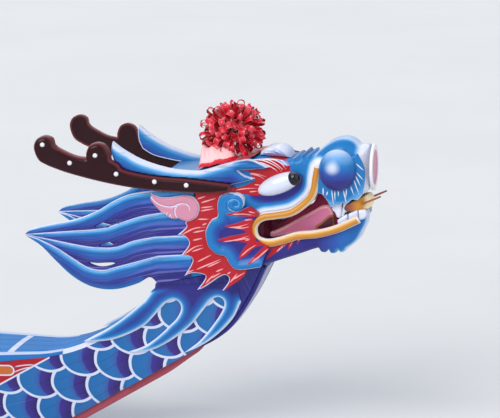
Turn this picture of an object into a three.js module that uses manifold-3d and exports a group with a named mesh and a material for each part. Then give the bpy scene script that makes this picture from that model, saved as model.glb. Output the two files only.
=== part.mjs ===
// A wooden racing dragon boat with a carved head, a tail, open cockpit, drum and steering oar.
// Millimetres. x runs forward from amidships, y to port, z up from the waterline.
import * as THREE from "three";
import { mergeVertices } from "three/addons/utils/BufferGeometryUtils.js";
import Module from "manifold-3d";

const wasm = await Module();
wasm.setup();

// Hull
const HALF_BEAM = 680; // half breadth amidships at the height of DECK_Z
const DECK_Z = 450;
const SHEER_MIDSHIP_Z = 400;
const FLARE = 0.333; // how far the side leans out for each mm of height
const BEAM_CURVE = 0.0000225; // loss of half breadth per mm squared of distance from amidships
const STRAIGHT_FROM = 4400; // past here the sides run straight to the ends
const STRAIGHT_SLOPE = 0.198;
const DRAFT = 180; // the keel is level between its rising ends
const OVERHANG_SLOPE = 0.6; // rise of the keel under the bow and the stern
const OVERHANG_END = 5400; // where the rising keel reaches DECK_Z
const OVERHANG_BLEND = 100;
const SHEER_RISE_FROM = 4550;
const SHEER_RISE = 0.00082;
const PLANK = 22;
const HULL_END = 5000; // the planks end here, on the neck and tail blocks
const SIDE_BUTT = 1500; // the side planks are butted here, under a thwart
const BOTTOM_BUTT = 4000; // the bottom planks are butted here
const KEEL_BUTT = 4280; // the keel is butted on the stem and the sternpost here
const DEADRISE = 0.1;
const GAP = 0.3; // between pieces that touch
const RIB_GAP = 0.7; // between the ribs and the planks, whose sides are straight between stations

// Keel, rails and inside of the hull
const KEEL_HALF = 30;
const KEEL_DEPTH = 45;
const RAIL = { inside: 35, outside: 14, cap: 25, height: 50 };
const RAIL_END = 4700; // past here the deck covers the side planks
const DECK_THICK = 24.7;
const FOREDECK_FROM = 3850;
const AFTERDECK_FROM = -4000;
const RIB = { wide: 34, deep: 26, top: 180 }; // a rib is a floor timber and a frame on each side
const KEELSON = { half: 42, deep: 52, end: 4000 };
const STRINGER = { low: 40, high: 75, in: 3, deep: 17 }; // joins the frames of one side
const THWART = { count: 9, first: 3000, pitch: 750, wide: 210, thick: 26, z: 215 };
const RISER = { wide: 30, end: 3375 };
const FLOOR = { half: 300, margin: 85, thick: 18, from: -3850, to: 3850 };

// Head: the side faces narrow towards the nose
const HEAD_HALF = 187.5; // half width of the head at HEAD_AT
const HEAD_AT = 5550;
const HEAD_TAPER = 0.125;

// Steering oar
const OAR = {
  pivot: [-4450, 430, 640],
  slope: 27, // degrees that the blade hangs below level at rest
  shaft: 23,
  forward: 1250,
  aft: 1750,
  blade: 700,
  bladeHalf: 105,
  bladeThick: 24,
};
const OAR_BEAM = { half: 35, from: -200, to: 475, height: 60 };
const CRUTCH = {
  pin: 11.7,
  hole: 12,
  through: 200, // length of the tools that cut its holes
  disc: 28,
  stem: 16,
  armIn: 35,
  armOut: 45,
  armHalf: 20,
  seatDrop: 70, // from the tilt pin down to the bar between the arms
  seatThick: 14,
  armRise: 20,
};
const TRUNNION = { radius: 8, hole: 8.3 };

// Colours of the painted wood
const paint = (color, roughness = 0.35, metalness = 0) =>
  new THREE.MeshStandardMaterial({ color, roughness, metalness });
const AZURE = paint(0x1f6fb4);
const DEEP_BLUE = paint(0x2b2f86);
const SKY_BLUE = paint(0x2f86c8);
const RED = paint(0xb3182c);
const KEEL_RED = paint(0x9c4650, 0.6);
const WHITE = paint(0xe8eaee);
const PINK = paint(0xcc86a0);
const GOLD = paint(0xcf8f2d);
const MAROON = paint(0x3c141c);
const WOOD = paint(0x9a6a3e, 0.6);
const DARK_WOOD = paint(0x6b4426, 0.6);
const STEEL = paint(0x9aa0a4, 0.4, 1);
const SATIN = paint(0xc1122a, 0.5);

const group = new THREE.Group();

function add(name, geometry, material) {
  const mesh = new THREE.Mesh(geometry, material);
  mesh.name = name;
  group.add(mesh);
  return mesh;
}

// Solids from points and triangles, turned so that the faces point out
function solid(points, triangles) {
  let volume = 0;
  for (const [a, b, c] of triangles) {
    const [p, q, r] = [points[a], points[b], points[c]];
    volume += p[0] * (q[1] * r[2] - q[2] * r[1]);
    volume += p[1] * (q[2] * r[0] - q[0] * r[2]);
    volume += p[2] * (q[0] * r[1] - q[1] * r[0]);
  }
  const faces = volume < 0 ? triangles.map(([a, b, c]) => [a, c, b]) : triangles;
  const geometry = new THREE.BufferGeometry();
  geometry.setAttribute("position", new THREE.Float32BufferAttribute(points.flat(), 3));
  geometry.setIndex(faces.flat());
  return geometry;
}

// The triangles that fill a flat outline, all turning left
function fill(flat) {
  return THREE.ShapeUtils.triangulateShape(flat, []).map(([a, b, c]) => {
    const [p, q, r] = [flat[a], flat[b], flat[c]];
    const left = (q.x - p.x) * (r.y - p.y) - (q.y - p.y) * (r.x - p.x) > 0;
    return left ? [a, b, c] : [a, c, b];
  });
}

const turningLeft = (outline) =>
  THREE.ShapeUtils.isClockWise(outline.map(([u, v]) => new THREE.Vector2(u, v)))
    ? [...outline].reverse()
    : outline;

// A board: an outline in x and z, filled between two surfaces whose y comes from x and z
function board(outline, near, far) {
  const flat = turningLeft(outline).map(([x, z]) => new THREE.Vector2(x, z));
  const count = flat.length;
  const points = [
    ...flat.map((p) => [p.x, near(p.x, p.y), p.y]),
    ...flat.map((p) => [p.x, far(p.x, p.y), p.y]),
  ];
  const triangles = fill(flat).flatMap(([a, b, c]) => [
    [a, b, c],
    [a + count, c + count, b + count],
  ]);
  for (let i = 0; i < count; i++) {
    const j = (i + 1) % count;
    triangles.push([i, i + count, j + count], [i, j + count, j]);
  }
  return solid(points, triangles);
}

// A loft: rings of [y, z] points at stations along x, closed by a cap at each end
function loft(stations, ringAt) {
  const rings = stations.map((x) => turningLeft(ringAt(x)).map(([y, z]) => [x, y, z]));
  const size = rings[0].length;
  const triangles = [];
  for (let row = 0; row + 1 < rings.length; row++) {
    for (let i = 0; i < size; i++) {
      const [a, b] = [row * size + i, row * size + ((i + 1) % size)];
      triangles.push([a, b, b + size], [a, b + size, a + size]);
    }
  }
  const last = (rings.length - 1) * size;
  const flatRing = (ring) => ring.map(([, y, z]) => new THREE.Vector2(y, z));
  for (const [a, b, c] of fill(flatRing(rings[0]))) triangles.push([a, c, b]);
  for (const [a, b, c] of fill(flatRing(rings.at(-1)))) triangles.push([a + last, b + last, c + last]);
  return solid(rings.flat(), triangles);
}

// Booleans
function toManifold(geometry) {
  const bare = geometry.clone();
  bare.deleteAttribute("normal");
  bare.deleteAttribute("uv");
  const merged = mergeVertices(bare, 1e-4);
  return new wasm.Manifold(
    new wasm.Mesh({
      numProp: 3,
      vertProperties: new Float32Array(merged.attributes.position.array),
      triVerts: new Uint32Array(merged.index.array),
    }),
  );
}

function fromManifold(body) {
  const made = body.getMesh();
  const geometry = new THREE.BufferGeometry();
  geometry.setAttribute("position", new THREE.BufferAttribute(made.vertProperties, 3));
  geometry.setIndex(new THREE.BufferAttribute(made.triVerts, 1));
  return geometry;
}

function join(...pieces) {
  return fromManifold(pieces.map(toManifold).reduce((all, piece) => all.add(piece)));
}

function cut(piece, ...tools) {
  return fromManifold(tools.map(toManifold).reduce((left, tool) => left.subtract(tool), toManifold(piece)));
}

// Outlines
function spline(points, steps = 3) {
  const curve = new THREE.SplineCurve(points.map(([x, z]) => new THREE.Vector2(x, z)));
  return curve.getPoints(steps * (points.length - 1)).map((p) => [p.x, p.y]);
}

// Each corner of an outline moved out by a distance
function grow(outline, distance) {
  const clockwise = THREE.ShapeUtils.isClockWise(outline.map(([x, z]) => new THREE.Vector2(x, z)));
  const out = clockwise ? -distance : distance;
  return outline.map(([x, z], i) => {
    const before = outline[(i + outline.length - 1) % outline.length];
    const after = outline[(i + 1) % outline.length];
    const normals = [
      [z - before[1], before[0] - x],
      [after[1] - z, x - after[0]],
    ].map(([nx, nz]) => [nx / Math.hypot(nx, nz), nz / Math.hypot(nx, nz)]);
    const sum = [normals[0][0] + normals[1][0], normals[0][1] + normals[1][1]];
    const length = Math.max(Math.hypot(...sum), 0.6);
    return [x + (out * sum[0]) / length, z + (out * sum[1]) / length];
  });
}

// The outline of a moulding of even width along a path
function band(path, half) {
  const line = spline(path, 3);
  const sides = [1, -1].map((side) =>
    line.map(([x, z], i) => {
      const before = line[Math.max(i - 1, 0)];
      const after = line[Math.min(i + 1, line.length - 1)];
      const [dx, dz] = [after[0] - before[0], after[1] - before[1]];
      const length = Math.hypot(dx, dz);
      return [x - (side * half * dz) / length, z + (side * half * dx) / length];
    }),
  );
  return [...sides[0], ...sides[1].reverse()];
}

function cylinder(radius, length, sides, x, y, z, along = "z") {
  const geometry = new THREE.CylinderGeometry(radius, radius, length, sides);
  if (along === "z") geometry.rotateX(Math.PI / 2);
  if (along === "x") geometry.rotateZ(Math.PI / 2);
  return geometry.translate(x, y, z);
}

function box(x0, x1, y0, y1, z0, z1) {
  const geometry = new THREE.BoxGeometry(x1 - x0, y1 - y0, z1 - z0);
  return geometry.translate((x0 + x1) / 2, (y0 + y1) / 2, (z0 + z1) / 2);
}

// Hull form
function softMax(a, b, blend) {
  const near = Math.max(blend - Math.abs(a - b), 0) / blend;
  return Math.max(a, b) + (near * near * blend) / 4;
}

function halfBreadth(x) {
  const far = Math.abs(x);
  if (far < STRAIGHT_FROM) return HALF_BEAM - BEAM_CURVE * far * far;
  return halfBreadth(STRAIGHT_FROM - 1e-6) - STRAIGHT_SLOPE * (far - STRAIGHT_FROM);
}

const sideHalf = (x, z) => halfBreadth(x) + FLARE * (z - DECK_Z);
const keelZ = (x) =>
  softMax(-DRAFT, DECK_Z + OVERHANG_SLOPE * (Math.abs(x) - OVERHANG_END), OVERHANG_BLEND);

function sheerZ(x) {
  const far = Math.abs(x);
  const along = Math.min(far, SHEER_RISE_FROM) / SHEER_RISE_FROM;
  const even = SHEER_MIDSHIP_Z + (DECK_Z - SHEER_MIDSHIP_Z) * along ** 2;
  return even + SHEER_RISE * Math.max(far - SHEER_RISE_FROM, 0) ** 2;
}

const plankTop = (x) => sheerZ(x) - RAIL.cap - GAP;
const SIDE_LENGTH = Math.hypot(1, FLARE); // along the slope for each mm across
const insideHalf = (x, z, inset) => sideHalf(x, z) - inset * SIDE_LENGTH;

// One side of a hull section, from the keel to the top of the planks, set in by a distance
function section(x, inset) {
  const foot = [KEEL_HALF + 6, keelZ(x) + KEEL_DEPTH];
  const bilgeY = sideHalf(x, foot[1] - DEADRISE * foot[0]) / (1 - DEADRISE * FLARE);
  const bilge = [bilgeY, foot[1] + DEADRISE * (bilgeY - foot[0])];
  const top = [sideHalf(x, plankTop(x)), plankTop(x)];
  const mix = (a, b, t) => [a[0] + (b[0] - a[0]) * t, a[1] + (b[1] - a[1]) * t];
  const start = mix(foot, bilge, 0.55);
  const end = mix(bilge, top, 0.3);
  const turn = [0.25, 0.5, 0.75].map((t) => mix(mix(start, bilge, t), mix(bilge, end, t), t));
  const outer = [foot, start, ...turn, end, top];
  return outer.map((p, i) => {
    if (i === 0) return [p[0], p[1] + inset];
    if (i === outer.length - 1) return [insideHalf(x, p[1], inset), p[1]];
    const [before, after] = [outer[i - 1], outer[i + 1]];
    const [dy, dz] = [after[0] - before[0], after[1] - before[1]];
    const length = Math.hypot(dy, dz);
    return [p[0] - (inset * dz) / length, p[1] + (inset * dy) / length];
  });
}

const BILGE_POINT = 3; // the bottom's planks end at this point of a section
const ribPlaces = Array.from({ length: 10 }, (_, i) => THWART.first + THWART.pitch * (0.5 - i));

const endPlaces = [SIDE_BUTT, FOREDECK_FROM, BOTTOM_BUTT, KEEL_BUTT, -OAR.pivot[0], 4575, RAIL_END, 4850];
const allPlaces = [...ribPlaces, ...endPlaces, ...endPlaces.map((x) => -x)].sort((a, b) => a - b);

// The stations of every plank, rail and deck: shared, so that neighbours bend at the same places
function stations(from, to) {
  return [from, ...allPlaces.filter((x) => x > from + 1 && x < to - 1), to];
}

// A height as the straight planks have it, between the two stations beside x
function betweenStations(heightAt, x) {
  const next = allPlaces.findIndex((place) => place >= x);
  const [a, b] = [allPlaces[next - 1], allPlaces[next]];
  return THREE.MathUtils.mapLinear(x, a, b, heightAt(a), heightAt(b));
}

// The three lengths of a plank that is butted at two places, each short of its neighbour by a gap
function lengths(butt, end) {
  return [
    ["aft", -end + GAP, -butt - GAP / 2],
    ["midship", -butt + GAP / 2, butt - GAP / 2],
    ["fore", butt + GAP / 2, end - GAP],
  ];
}

function bottomPlanks(from, to) {
  return loft(stations(from, to), (x) => {
    const outer = section(x, 0).slice(0, BILGE_POINT + 1);
    const inner = section(x, PLANK).slice(0, BILGE_POINT + 1);
    return [
      ...[...outer].reverse().map(flip),
      ...outer,
      ...[...inner].reverse(),
      ...inner.map(flip),
    ];
  });
}

function sidePlanks(side, from, to) {
  return loft(stations(from, to).reverse(), (x) => {
    const outer = section(x, 0).slice(BILGE_POINT);
    const inner = section(x, PLANK).slice(BILGE_POINT);
    const seam = (line) => {
      const [a, b] = line;
      const length = Math.hypot(b[0] - a[0], b[1] - a[1]);
      return [
        [a[0] + ((b[0] - a[0]) * GAP) / length, a[1] + ((b[1] - a[1]) * GAP) / length],
        ...line.slice(1),
      ];
    };
    return [...seam(outer), ...seam(inner).reverse()].map(([y, z]) => [side * y, z]);
  });
}

function keel(from, to) {
  return loft(stations(from, to), (x) => {
    const [low, high] = [keelZ(x), keelZ(x) + KEEL_DEPTH - GAP];
    return [
      [-KEEL_HALF, low],
      [KEEL_HALF, low],
      [KEEL_HALF, high],
      [-KEEL_HALF, high],
    ];
  });
}

function rail(side) {
  return loft(stations(-RAIL_END + GAP, RAIL_END - GAP), (x) => {
    const top = sheerZ(x);
    const [cap, low] = [top - RAIL.cap, top - RAIL.height];
    return [
      [sideHalf(x, cap) - RAIL.inside, cap],
      [sideHalf(x, cap) - RAIL.inside, top],
      [sideHalf(x, top) + RAIL.outside, top],
      [sideHalf(x, low) + RAIL.outside, low],
      [sideHalf(x, low) + 0.6, low],
      [sideHalf(x, cap) + 0.6, cap],
    ].map(([y, z]) => [side * y, z]);
  });
}

// A deck between the rails, which widens over the planks where the rails end
function deck(from, to) {
  const across = Math.sign(from + to) * RAIL_END;
  const places = stations(from, to).flatMap((x) => (x === across ? [x - GAP, x + GAP] : [x]));
  return loft(places, (x) => {
    const [low, high] = [sheerZ(x) - DECK_THICK, sheerZ(x)];
    const inset = Math.abs(x) > RAIL_END ? 0 : RAIL.inside + 2 * GAP;
    const half = sideHalf(x, low) - inset;
    return [
      [-half, low],
      [half, low],
      [half, high],
      [-half, high],
    ];
  });
}

const keelsonTop = (x) => keelZ(x) + KEEL_DEPTH + PLANK + RIB_GAP + KEELSON.deep;
const flip = ([y, z]) => [-y, z];

// The keelson with the floor timbers, level on top, that lie across the bottom
function floorTimbers() {
  const bar = loft(stations(-KEELSON.end, KEELSON.end), (x) => {
    const [low, high] = [keelsonTop(x) - KEELSON.deep + 1, keelsonTop(x)];
    return [
      [-KEELSON.half, low],
      [KEELSON.half, low],
      [KEELSON.half, high],
      [-KEELSON.half, high],
    ];
  });
  const timbers = ribPlaces.map((place) =>
    loft([place - RIB.wide / 2, place + RIB.wide / 2], (x) => {
      const foot = section(x, PLANK + RIB_GAP).slice(0, BILGE_POINT);
      const half = [...foot, [foot.at(-1)[0], keelsonTop(x)]];
      return [...[...half].reverse().map(flip), ...half];
    }),
  );
  return join(bar, ...timbers);
}

// The frames on one side, from the bilge to the riser, with the stringer that joins them
function sideFrames(side) {
  const stringer = loft(stations(-RISER.end, RISER.end), (x) => {
    const outer = PLANK + RIB_GAP + STRINGER.in;
    const inner = outer + STRINGER.deep;
    return [
      [insideHalf(x, STRINGER.low, inner), STRINGER.low],
      [insideHalf(x, STRINGER.low, outer), STRINGER.low],
      [insideHalf(x, STRINGER.high, outer), STRINGER.high],
      [insideHalf(x, STRINGER.high, inner), STRINGER.high],
    ].map(([y, z]) => [side * y, z]);
  });
  const frames = ribPlaces.map((place) =>
    loft([place - RIB.wide / 2, place + RIB.wide / 2], (x) => {
      const line = (inset) => [
        ...section(x, inset).slice(BILGE_POINT, -1),
        [insideHalf(x, RIB.top, inset), RIB.top],
      ];
      const outer = line(PLANK + RIB_GAP);
      const inner = line(PLANK + RIB_GAP + RIB.deep);
      return [...outer, ...inner.reverse()].map(([y, z]) => [side * y, z]);
    }),
  );
  return join(stringer, ...frames);
}

function thwartsAndRisers() {
  const seatTop = THWART.z + THWART.thick;
  const risers = [1, -1].map((side) =>
    loft(stations(-RISER.end, RISER.end), (x) => {
      const [low, high] = [RIB.top + GAP, THWART.z + 2];
      const out = (z) => insideHalf(x, z, PLANK + RIB_GAP);
      return [
        [out(low) - RISER.wide, low],
        [out(low), low],
        [out(high), high],
        [out(high) - RISER.wide, high],
      ].map(([y, z]) => [side * y, z]);
    }),
  );
  const seats = Array.from({ length: THWART.count }, (_, i) => {
    const [aft, fore] = [-1, 1].map((end) => THWART.first - THWART.pitch * i + (end * THWART.wide) / 2);
    const half = insideHalf(Math.max(-aft, fore), THWART.z, PLANK + 5);
    return box(aft, fore, -half, half, THWART.z, seatTop);
  });
  return join(...risers, ...seats);
}

const floorZ = (x) => keelsonTop(x) + GAP;

function floorboards() {
  return loft(stations(FLOOR.from, FLOOR.to), (x) => {
    const [low, high] = [floorZ(x), floorZ(x) + FLOOR.thick];
    const half = Math.min(FLOOR.half, sideHalf(x, low) - FLOOR.margin);
    return [
      [-half, low],
      [half, low],
      [half, high],
      [-half, high],
    ];
  });
}

// Neck, tail blocks and their facing boards, as outlines in x and z
const plankFoot = (x) => keelZ(x) + KEEL_DEPTH;
const NECK_FRONT = spline([
  [5385, 487],
  [5470, 547],
  [5560, 640],
  [5650, 780],
  [5725, 935],
]);
const NECK_BACK = spline([
  [5195, 838],
  [5180, 785],
  [5120, 712],
  [HULL_END, sheerZ(HULL_END)],
]);
const neckOutline = [[HULL_END, plankFoot(HULL_END)], ...NECK_FRONT, ...NECK_BACK];

// A block between two sides that stand equally far from the centreline
function blockBetween(outline, half) {
  return board(
    outline,
    (x, z) => -half(x, z),
    (x, z) => half(x, z),
  );
}

const mirrorEnds = (outline) => outline.map(([x, z]) => [-x, z]);

// The facing board on the front of the neck lies along its outline, moved forward and down
const FACING = { out: [16.4, -11.4], clear: [0.36, -0.24], inset: 6, to: 5725 };
const facingOutline = [
  ...NECK_FRONT.map(([x, z]) => [x + FACING.clear[0], z + FACING.clear[1]]),
  ...[...NECK_FRONT].reverse().map(([x, z]) => [x + FACING.out[0], z + FACING.out[1]]),
];

// The stem: the rising end of the keel with the facing board above it, or the same at the stern
function stem(end) {
  const outline = end > 0 ? facingOutline : mirrorEnds(facingOutline);
  const half = (x, z) => sideHalf(Math.min(Math.abs(x), FACING.to), z) - FACING.inset;
  const facing = blockBetween(outline, half);
  const places = [end * (KEEL_BUTT + GAP / 2), end * (OVERHANG_END - 5)];
  return join(facing, keel(Math.min(...places), Math.max(...places)));
}

// Boards on the side of the head lie between two distances out from its flat side
const headHalf = (x) => HEAD_HALF - HEAD_TAPER * (x - HEAD_AT);

function sideBoard(side, outline, from, to) {
  return board(
    outline,
    (x) => side * (headHalf(x) + from),
    (x) => side * (headHalf(x) + to),
  );
}

function neckBoard(side, outline, from, to) {
  return board(
    outline,
    (x, z) => side * (sideHalf(x, z) + from),
    (x, z) => side * (sideHalf(x, z) + to),
  );
}

const skullOutline = [
  [5200, 839.4],
  [5725, 935.5],
  [5700, 1160],
  [5790, 1228],
  [5930, 1264],
  [6010, 1300],
  [6235, 1312],
  [6272, 1345],
  ...spline([
    [6276, 1540],
    [6180, 1536],
    [6140, 1576],
    [6060, 1576],
    [5960, 1535],
    [5860, 1478],
  ]),
  [5700, 1488],
  [5560, 1455],
  [5400, 1415],
  [5230, 1395],
  [5170, 1330],
  [5180, 1100],
];
const jawOutline = [
  [5725.6, 936],
  ...spline([
    [5820, 968],
    [5920, 1000],
    [6020, 1035],
    [6140, 1030],
    [6225, 1095],
    [6246, 1212],
  ]),
  [6235, 1236],
  ...spline([
    [6090, 1174],
    [5920, 1118],
    [5780, 1088],
    [5701.7, 1150],
  ]),
];
const browOutline = [
  [5702, 1488.4],
  ...spline([
    [5712, 1522],
    [5760, 1547],
    [5810, 1542],
    [5845, 1515],
    [5856, 1478.8],
  ]),
];
const tongueOutline = [
  [5745, 1122],
  [5788, 1089],
  [6055, 1232],
  [6078, 1270],
  [6040, 1284],
  [5800, 1190],
];
const frontLipOutline = spline([
  [6150, 1284],
  [6200, 1270],
  [6262, 1270],
  [6276, 1296],
  [6235, 1310.8],
  [6155, 1306],
]);

// Carved boards on each side of the head
const lipPath = [
  [5994, 1425],
  [5980, 1352],
  [5922, 1288],
  [5775, 1244],
  [5700, 1212],
  [5680, 1160],
  [5706, 1098],
  [5770, 1070],
  [5920, 1108],
  [6090, 1165],
  [6212, 1216],
];
const cheekOutline = [
  ...spline([
    [5650, 1262],
    [5600, 1250],
    [5570, 1296],
    [5530, 1302],
    [5508, 1262],
    [5512, 1205],
    [5462, 1135],
    [5460, 1075],
    [5490, 1022],
    [5545, 990],
    [5570, 945],
    [5600, 919],
    [5670, 917],
    [5728, 936],
  ]),
  [5770, 1045],
  [5660, 1160],
  [5690, 1235],
];
const ruffOutline = [
  [5400, 1400],
  [5410, 1240],
  [5395, 1190],
  [5367, 1150],
  [5310, 1093],
  [5362, 1072],
  [5328, 989],
  [5386, 962],
  [5346, 886],
  [5440, 893],
  [5409, 816],
  [5530, 893],
  [5562, 888],
  [5534, 814],
  [5656, 912],
  [5600, 1000],
  [5600, 1340],
];
const earOutline = spline([
  [5176, 1280],
  [5180, 1312],
  [5235, 1292],
  [5300, 1302],
  [5360, 1296],
  [5412, 1258],
  [5424, 1230],
  [5405, 1188],
  [5362, 1168],
  [5300, 1180],
  [5225, 1215],
], 2);
const maneOutline = [
  [4545, 1082],
  ...spline([
    [4680, 1139],
    [4805, 1166],
    [4912, 1210],
    [4998, 1262],
    [5080, 1298],
    [5180, 1316],
  ]),
  [5380, 1300],
  [5380, 880],
  [5210, 842],
  ...spline([
    [5173, 876],
    [5114, 844],
    [5022, 814],
    [4940, 810],
    [4858, 832],
    [4776, 882],
    [4694, 961],
    [4628, 1028],
  ]),
];
const hornOutline = [
  ...spline([
    [5580, 1362],
    [5380, 1385],
    [5205, 1397],
    [5060, 1426],
    [5028, 1462],
  ]),
  ...spline([
    [5000, 1500],
    [4975, 1548],
    [4925, 1562],
    [4880, 1540],
    [4868, 1490],
  ]),
  ...spline([
    [4810, 1496],
    [4725, 1536],
    [4708, 1580],
    [4662, 1594],
    [4618, 1570],
    [4608, 1520],
    [4640, 1466],
  ]),
  ...spline([
    [4682, 1444],
    [4786, 1404],
    [4960, 1361],
    [5135, 1332],
    [5310, 1320],
    [5450, 1315],
    [5568, 1324],
  ]),
];
const crestOutline = [
  ...spline([
    [5760, 1435],
    [5706, 1479],
    [5655, 1485],
    [5560, 1464],
    [5465, 1433],
    [5402, 1422],
    [5275, 1433],
    [5148, 1470],
    [5053, 1520],
    [4994, 1564],
  ]),
  ...spline([
    [4988, 1539],
    [5016, 1480],
    [5070, 1450],
    [5130, 1424],
    [5210, 1403],
  ]),
  [5380, 1391],
  [5590, 1368],
  [5640, 1400],
];
const plumeOutline = [
  [4812, 508],
  [4925, 508],
  [5015, 545],
  [5110, 597],
  [5175, 655],
  [5240, 740],
  [5290, 735],
  [5270, 640],
  [5190, 542],
  [5110, 488],
  [5040, 468],
  [5110, 455],
  [5190, 478],
  [5270, 528],
  [5335, 583],
  [5400, 655],
  [5430, 722],
  [5490, 745],
  [5500, 700],
  [5450, 600],
  [5355, 500],
  [5300, 452],
  [5385, 492],
  [5470, 551],
  [5560, 644],
  [5610, 740],
  [5560, 850],
  [5215, 830],
  [5175, 775],
  [5115, 705],
  [5030, 640],
  [4910, 558],
];

// How far each kind of board on the head stands out from its side
const STAND = { mane: 34, ruff: 26, ear: 40, cheek: 48, lip: 30, crest: 52, horn: 78, plume: 14 };
const CLEAR = 0.5;
const TOOL = { from: -5, to: 200 }; // the cuts around a board reach through its neighbours

function headSide(side, name) {
  const on = (outline, from, to) => sideBoard(side, outline, from, to);
  const tool = (outline) => on(grow(outline, CLEAR), TOOL.from, TOOL.to);
  const lip = band(lipPath, 13);
  add(`lip_${name}`, on(lip, GAP, STAND.lip), GOLD);
  add(`cheek_${name}`, cut(on(cheekOutline, GAP, STAND.cheek), tool(lip)), AZURE);
  add(`ear_${name}`, on(earOutline, GAP, STAND.ear), PINK);
  const ruff = cut(on(ruffOutline, GAP, STAND.ruff), tool(cheekOutline), tool(earOutline), tool(lip));
  add(`ruff_${name}`, ruff, RED);
  const mane = cut(on(maneOutline, GAP, STAND.mane), tool(ruffOutline), tool(earOutline));
  add(`mane_${name}`, mane, DEEP_BLUE);
  add(`horn_${name}`, on(hornOutline, STAND.ruff + GAP, STAND.horn), MAROON);
  add(`crest_${name}`, cut(on(crestOutline, GAP, STAND.crest), tool(ruffOutline)), AZURE);
  add(`neck_plume_${name}`, neckBoard(side, plumeOutline, GAP, STAND.plume), SKY_BLUE);
}

const EYE = { x: 5812, z: 1362, out: 6, radii: [112, 46, 46], tilt: 0.38 };
const BALL = { x: 6107, z: 1419, out: 14, radii: [95, 88, 95], tilt: 0 };
const NOSE_DISC = { x: 6276, z: 1445, half: 82, high: 100, thick: 14 };
const WHISKER = { radius: 4, tip: 2.4, from: [6270, 1291], to: [6346, 1331], y: 84 };

// A round form on the side of the head, kept outside its flat side
function bulge(side, { x, z, out, radii, tilt }) {
  const reach = Math.max(...radii) * 2;
  const around = [
    [x - reach, z - reach],
    [x + reach, z - reach],
    [x + reach, z + reach],
    [x - reach, z + reach],
  ];
  const round = new THREE.SphereGeometry(1, 20, 12).scale(...radii).rotateY(-tilt);
  round.translate(x, side * (headHalf(x) + out), z);
  return cut(round, sideBoard(side, around, -reach, GAP));
}

function headDetails(side, name) {
  add(`eye_${name}`, bulge(side, EYE), WHITE);
  add(`nostril_${name}`, bulge(side, BALL), AZURE);
}

const TEETH = { inset: 14, thick: 24 };

// Two rows of teeth set in from the sides, joined by a bar across the front
function teeth(outline, front) {
  const rows = [1, -1].map((side) => sideBoard(side, outline, -TEETH.inset - TEETH.thick, -TEETH.inset));
  const bar = blockBetween(front, (x) => headHalf(x) - TEETH.inset - TEETH.thick / 2);
  return join(...rows, bar);
}

const upperTeeth = [
  [6085, 1303.5],
  [6090, 1240],
  [6118, 1234],
  [6142, 1242],
  [6144, 1306.6],
];
const upperGum = [
  [6094, 1284],
  [6134, 1284],
  [6134, 1300],
  [6094, 1298],
];
const lowerTeeth = [
  [6095, 1178],
  [6226, 1233],
  [6228, 1262],
  [6170, 1240],
  [6098, 1212],
];
const lowerGum = [
  [6204, 1236],
  [6224, 1240],
  [6224, 1258],
  [6204, 1252],
];

function buildHead() {
  add("neck", blockBetween(neckOutline, sideHalf), DEEP_BLUE);
  add("stem", stem(1), WHITE);
  add("skull", blockBetween(skullOutline, (x) => headHalf(x)), AZURE);
  add("lower_jaw", blockBetween(jawOutline, (x) => headHalf(x) - 4), DEEP_BLUE);
  add("brow", blockBetween(browOutline, (x) => headHalf(x) - 60), WHITE);
  add("tongue", blockBetween(tongueOutline, () => 70), PINK);
  add("upper_front_lip", frontLip(), GOLD);
  add("upper_teeth", teeth(upperTeeth, upperGum), WHITE);
  add("lower_teeth", teeth(lowerTeeth, lowerGum), WHITE);
  const disc = new THREE.CylinderGeometry(1, 1, NOSE_DISC.thick, 24).rotateZ(Math.PI / 2);
  disc.scale(1, NOSE_DISC.half, NOSE_DISC.high);
  add("nose_disc", disc.translate(NOSE_DISC.x + NOSE_DISC.thick / 2 + GAP, 0, NOSE_DISC.z), PINK);
  for (const [side, name] of [[-1, "starboard"], [1, "port"]]) {
    headSide(side, name);
    headDetails(side, name);
  }
}

// The rolled front edge of the upper lip, with the stub of a whisker on each side
function frontLip() {
  const [[x0, z0], [x1, z1]] = [WHISKER.from, WHISKER.to];
  const whiskers = [1, -1].map((side) => {
    const length = Math.hypot(x1 - x0, z1 - z0);
    const rod = new THREE.CylinderGeometry(WHISKER.tip, WHISKER.radius, length, 8);
    rod.translate(0, length / 2, 0).rotateX(Math.PI / 2).rotateY(Math.atan2(x1 - x0, z1 - z0));
    return rod.translate(x0, side * WHISKER.y, z0);
  });
  return join(blockBetween(frontLipOutline, (x) => headHalf(x) - 4), ...whiskers);
}

// The ribbon rosette on its sash
const SASH = { thick: 10, half: 176, fore: 5640, aft: 5395 };
const ROSETTE = { x: 5548, z: 1612.6, radii: [172, 165, 142] };

function buildRibbon() {
  const top = [[SASH.aft, 1416], [5400, 1417.5], [5560, 1457.5], [SASH.fore, 1476]];
  const high = top.map(([x, z]) => [x, z + SASH.thick]).reverse();
  add("sash", blockBetween([...top, ...high], () => SASH.half), SATIN);
  const ball = new THREE.SphereGeometry(1, 20, 12).scale(...ROSETTE.radii);
  add("rosette", ball.translate(ROSETTE.x, 0, ROSETTE.z), SATIN);
}

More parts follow.
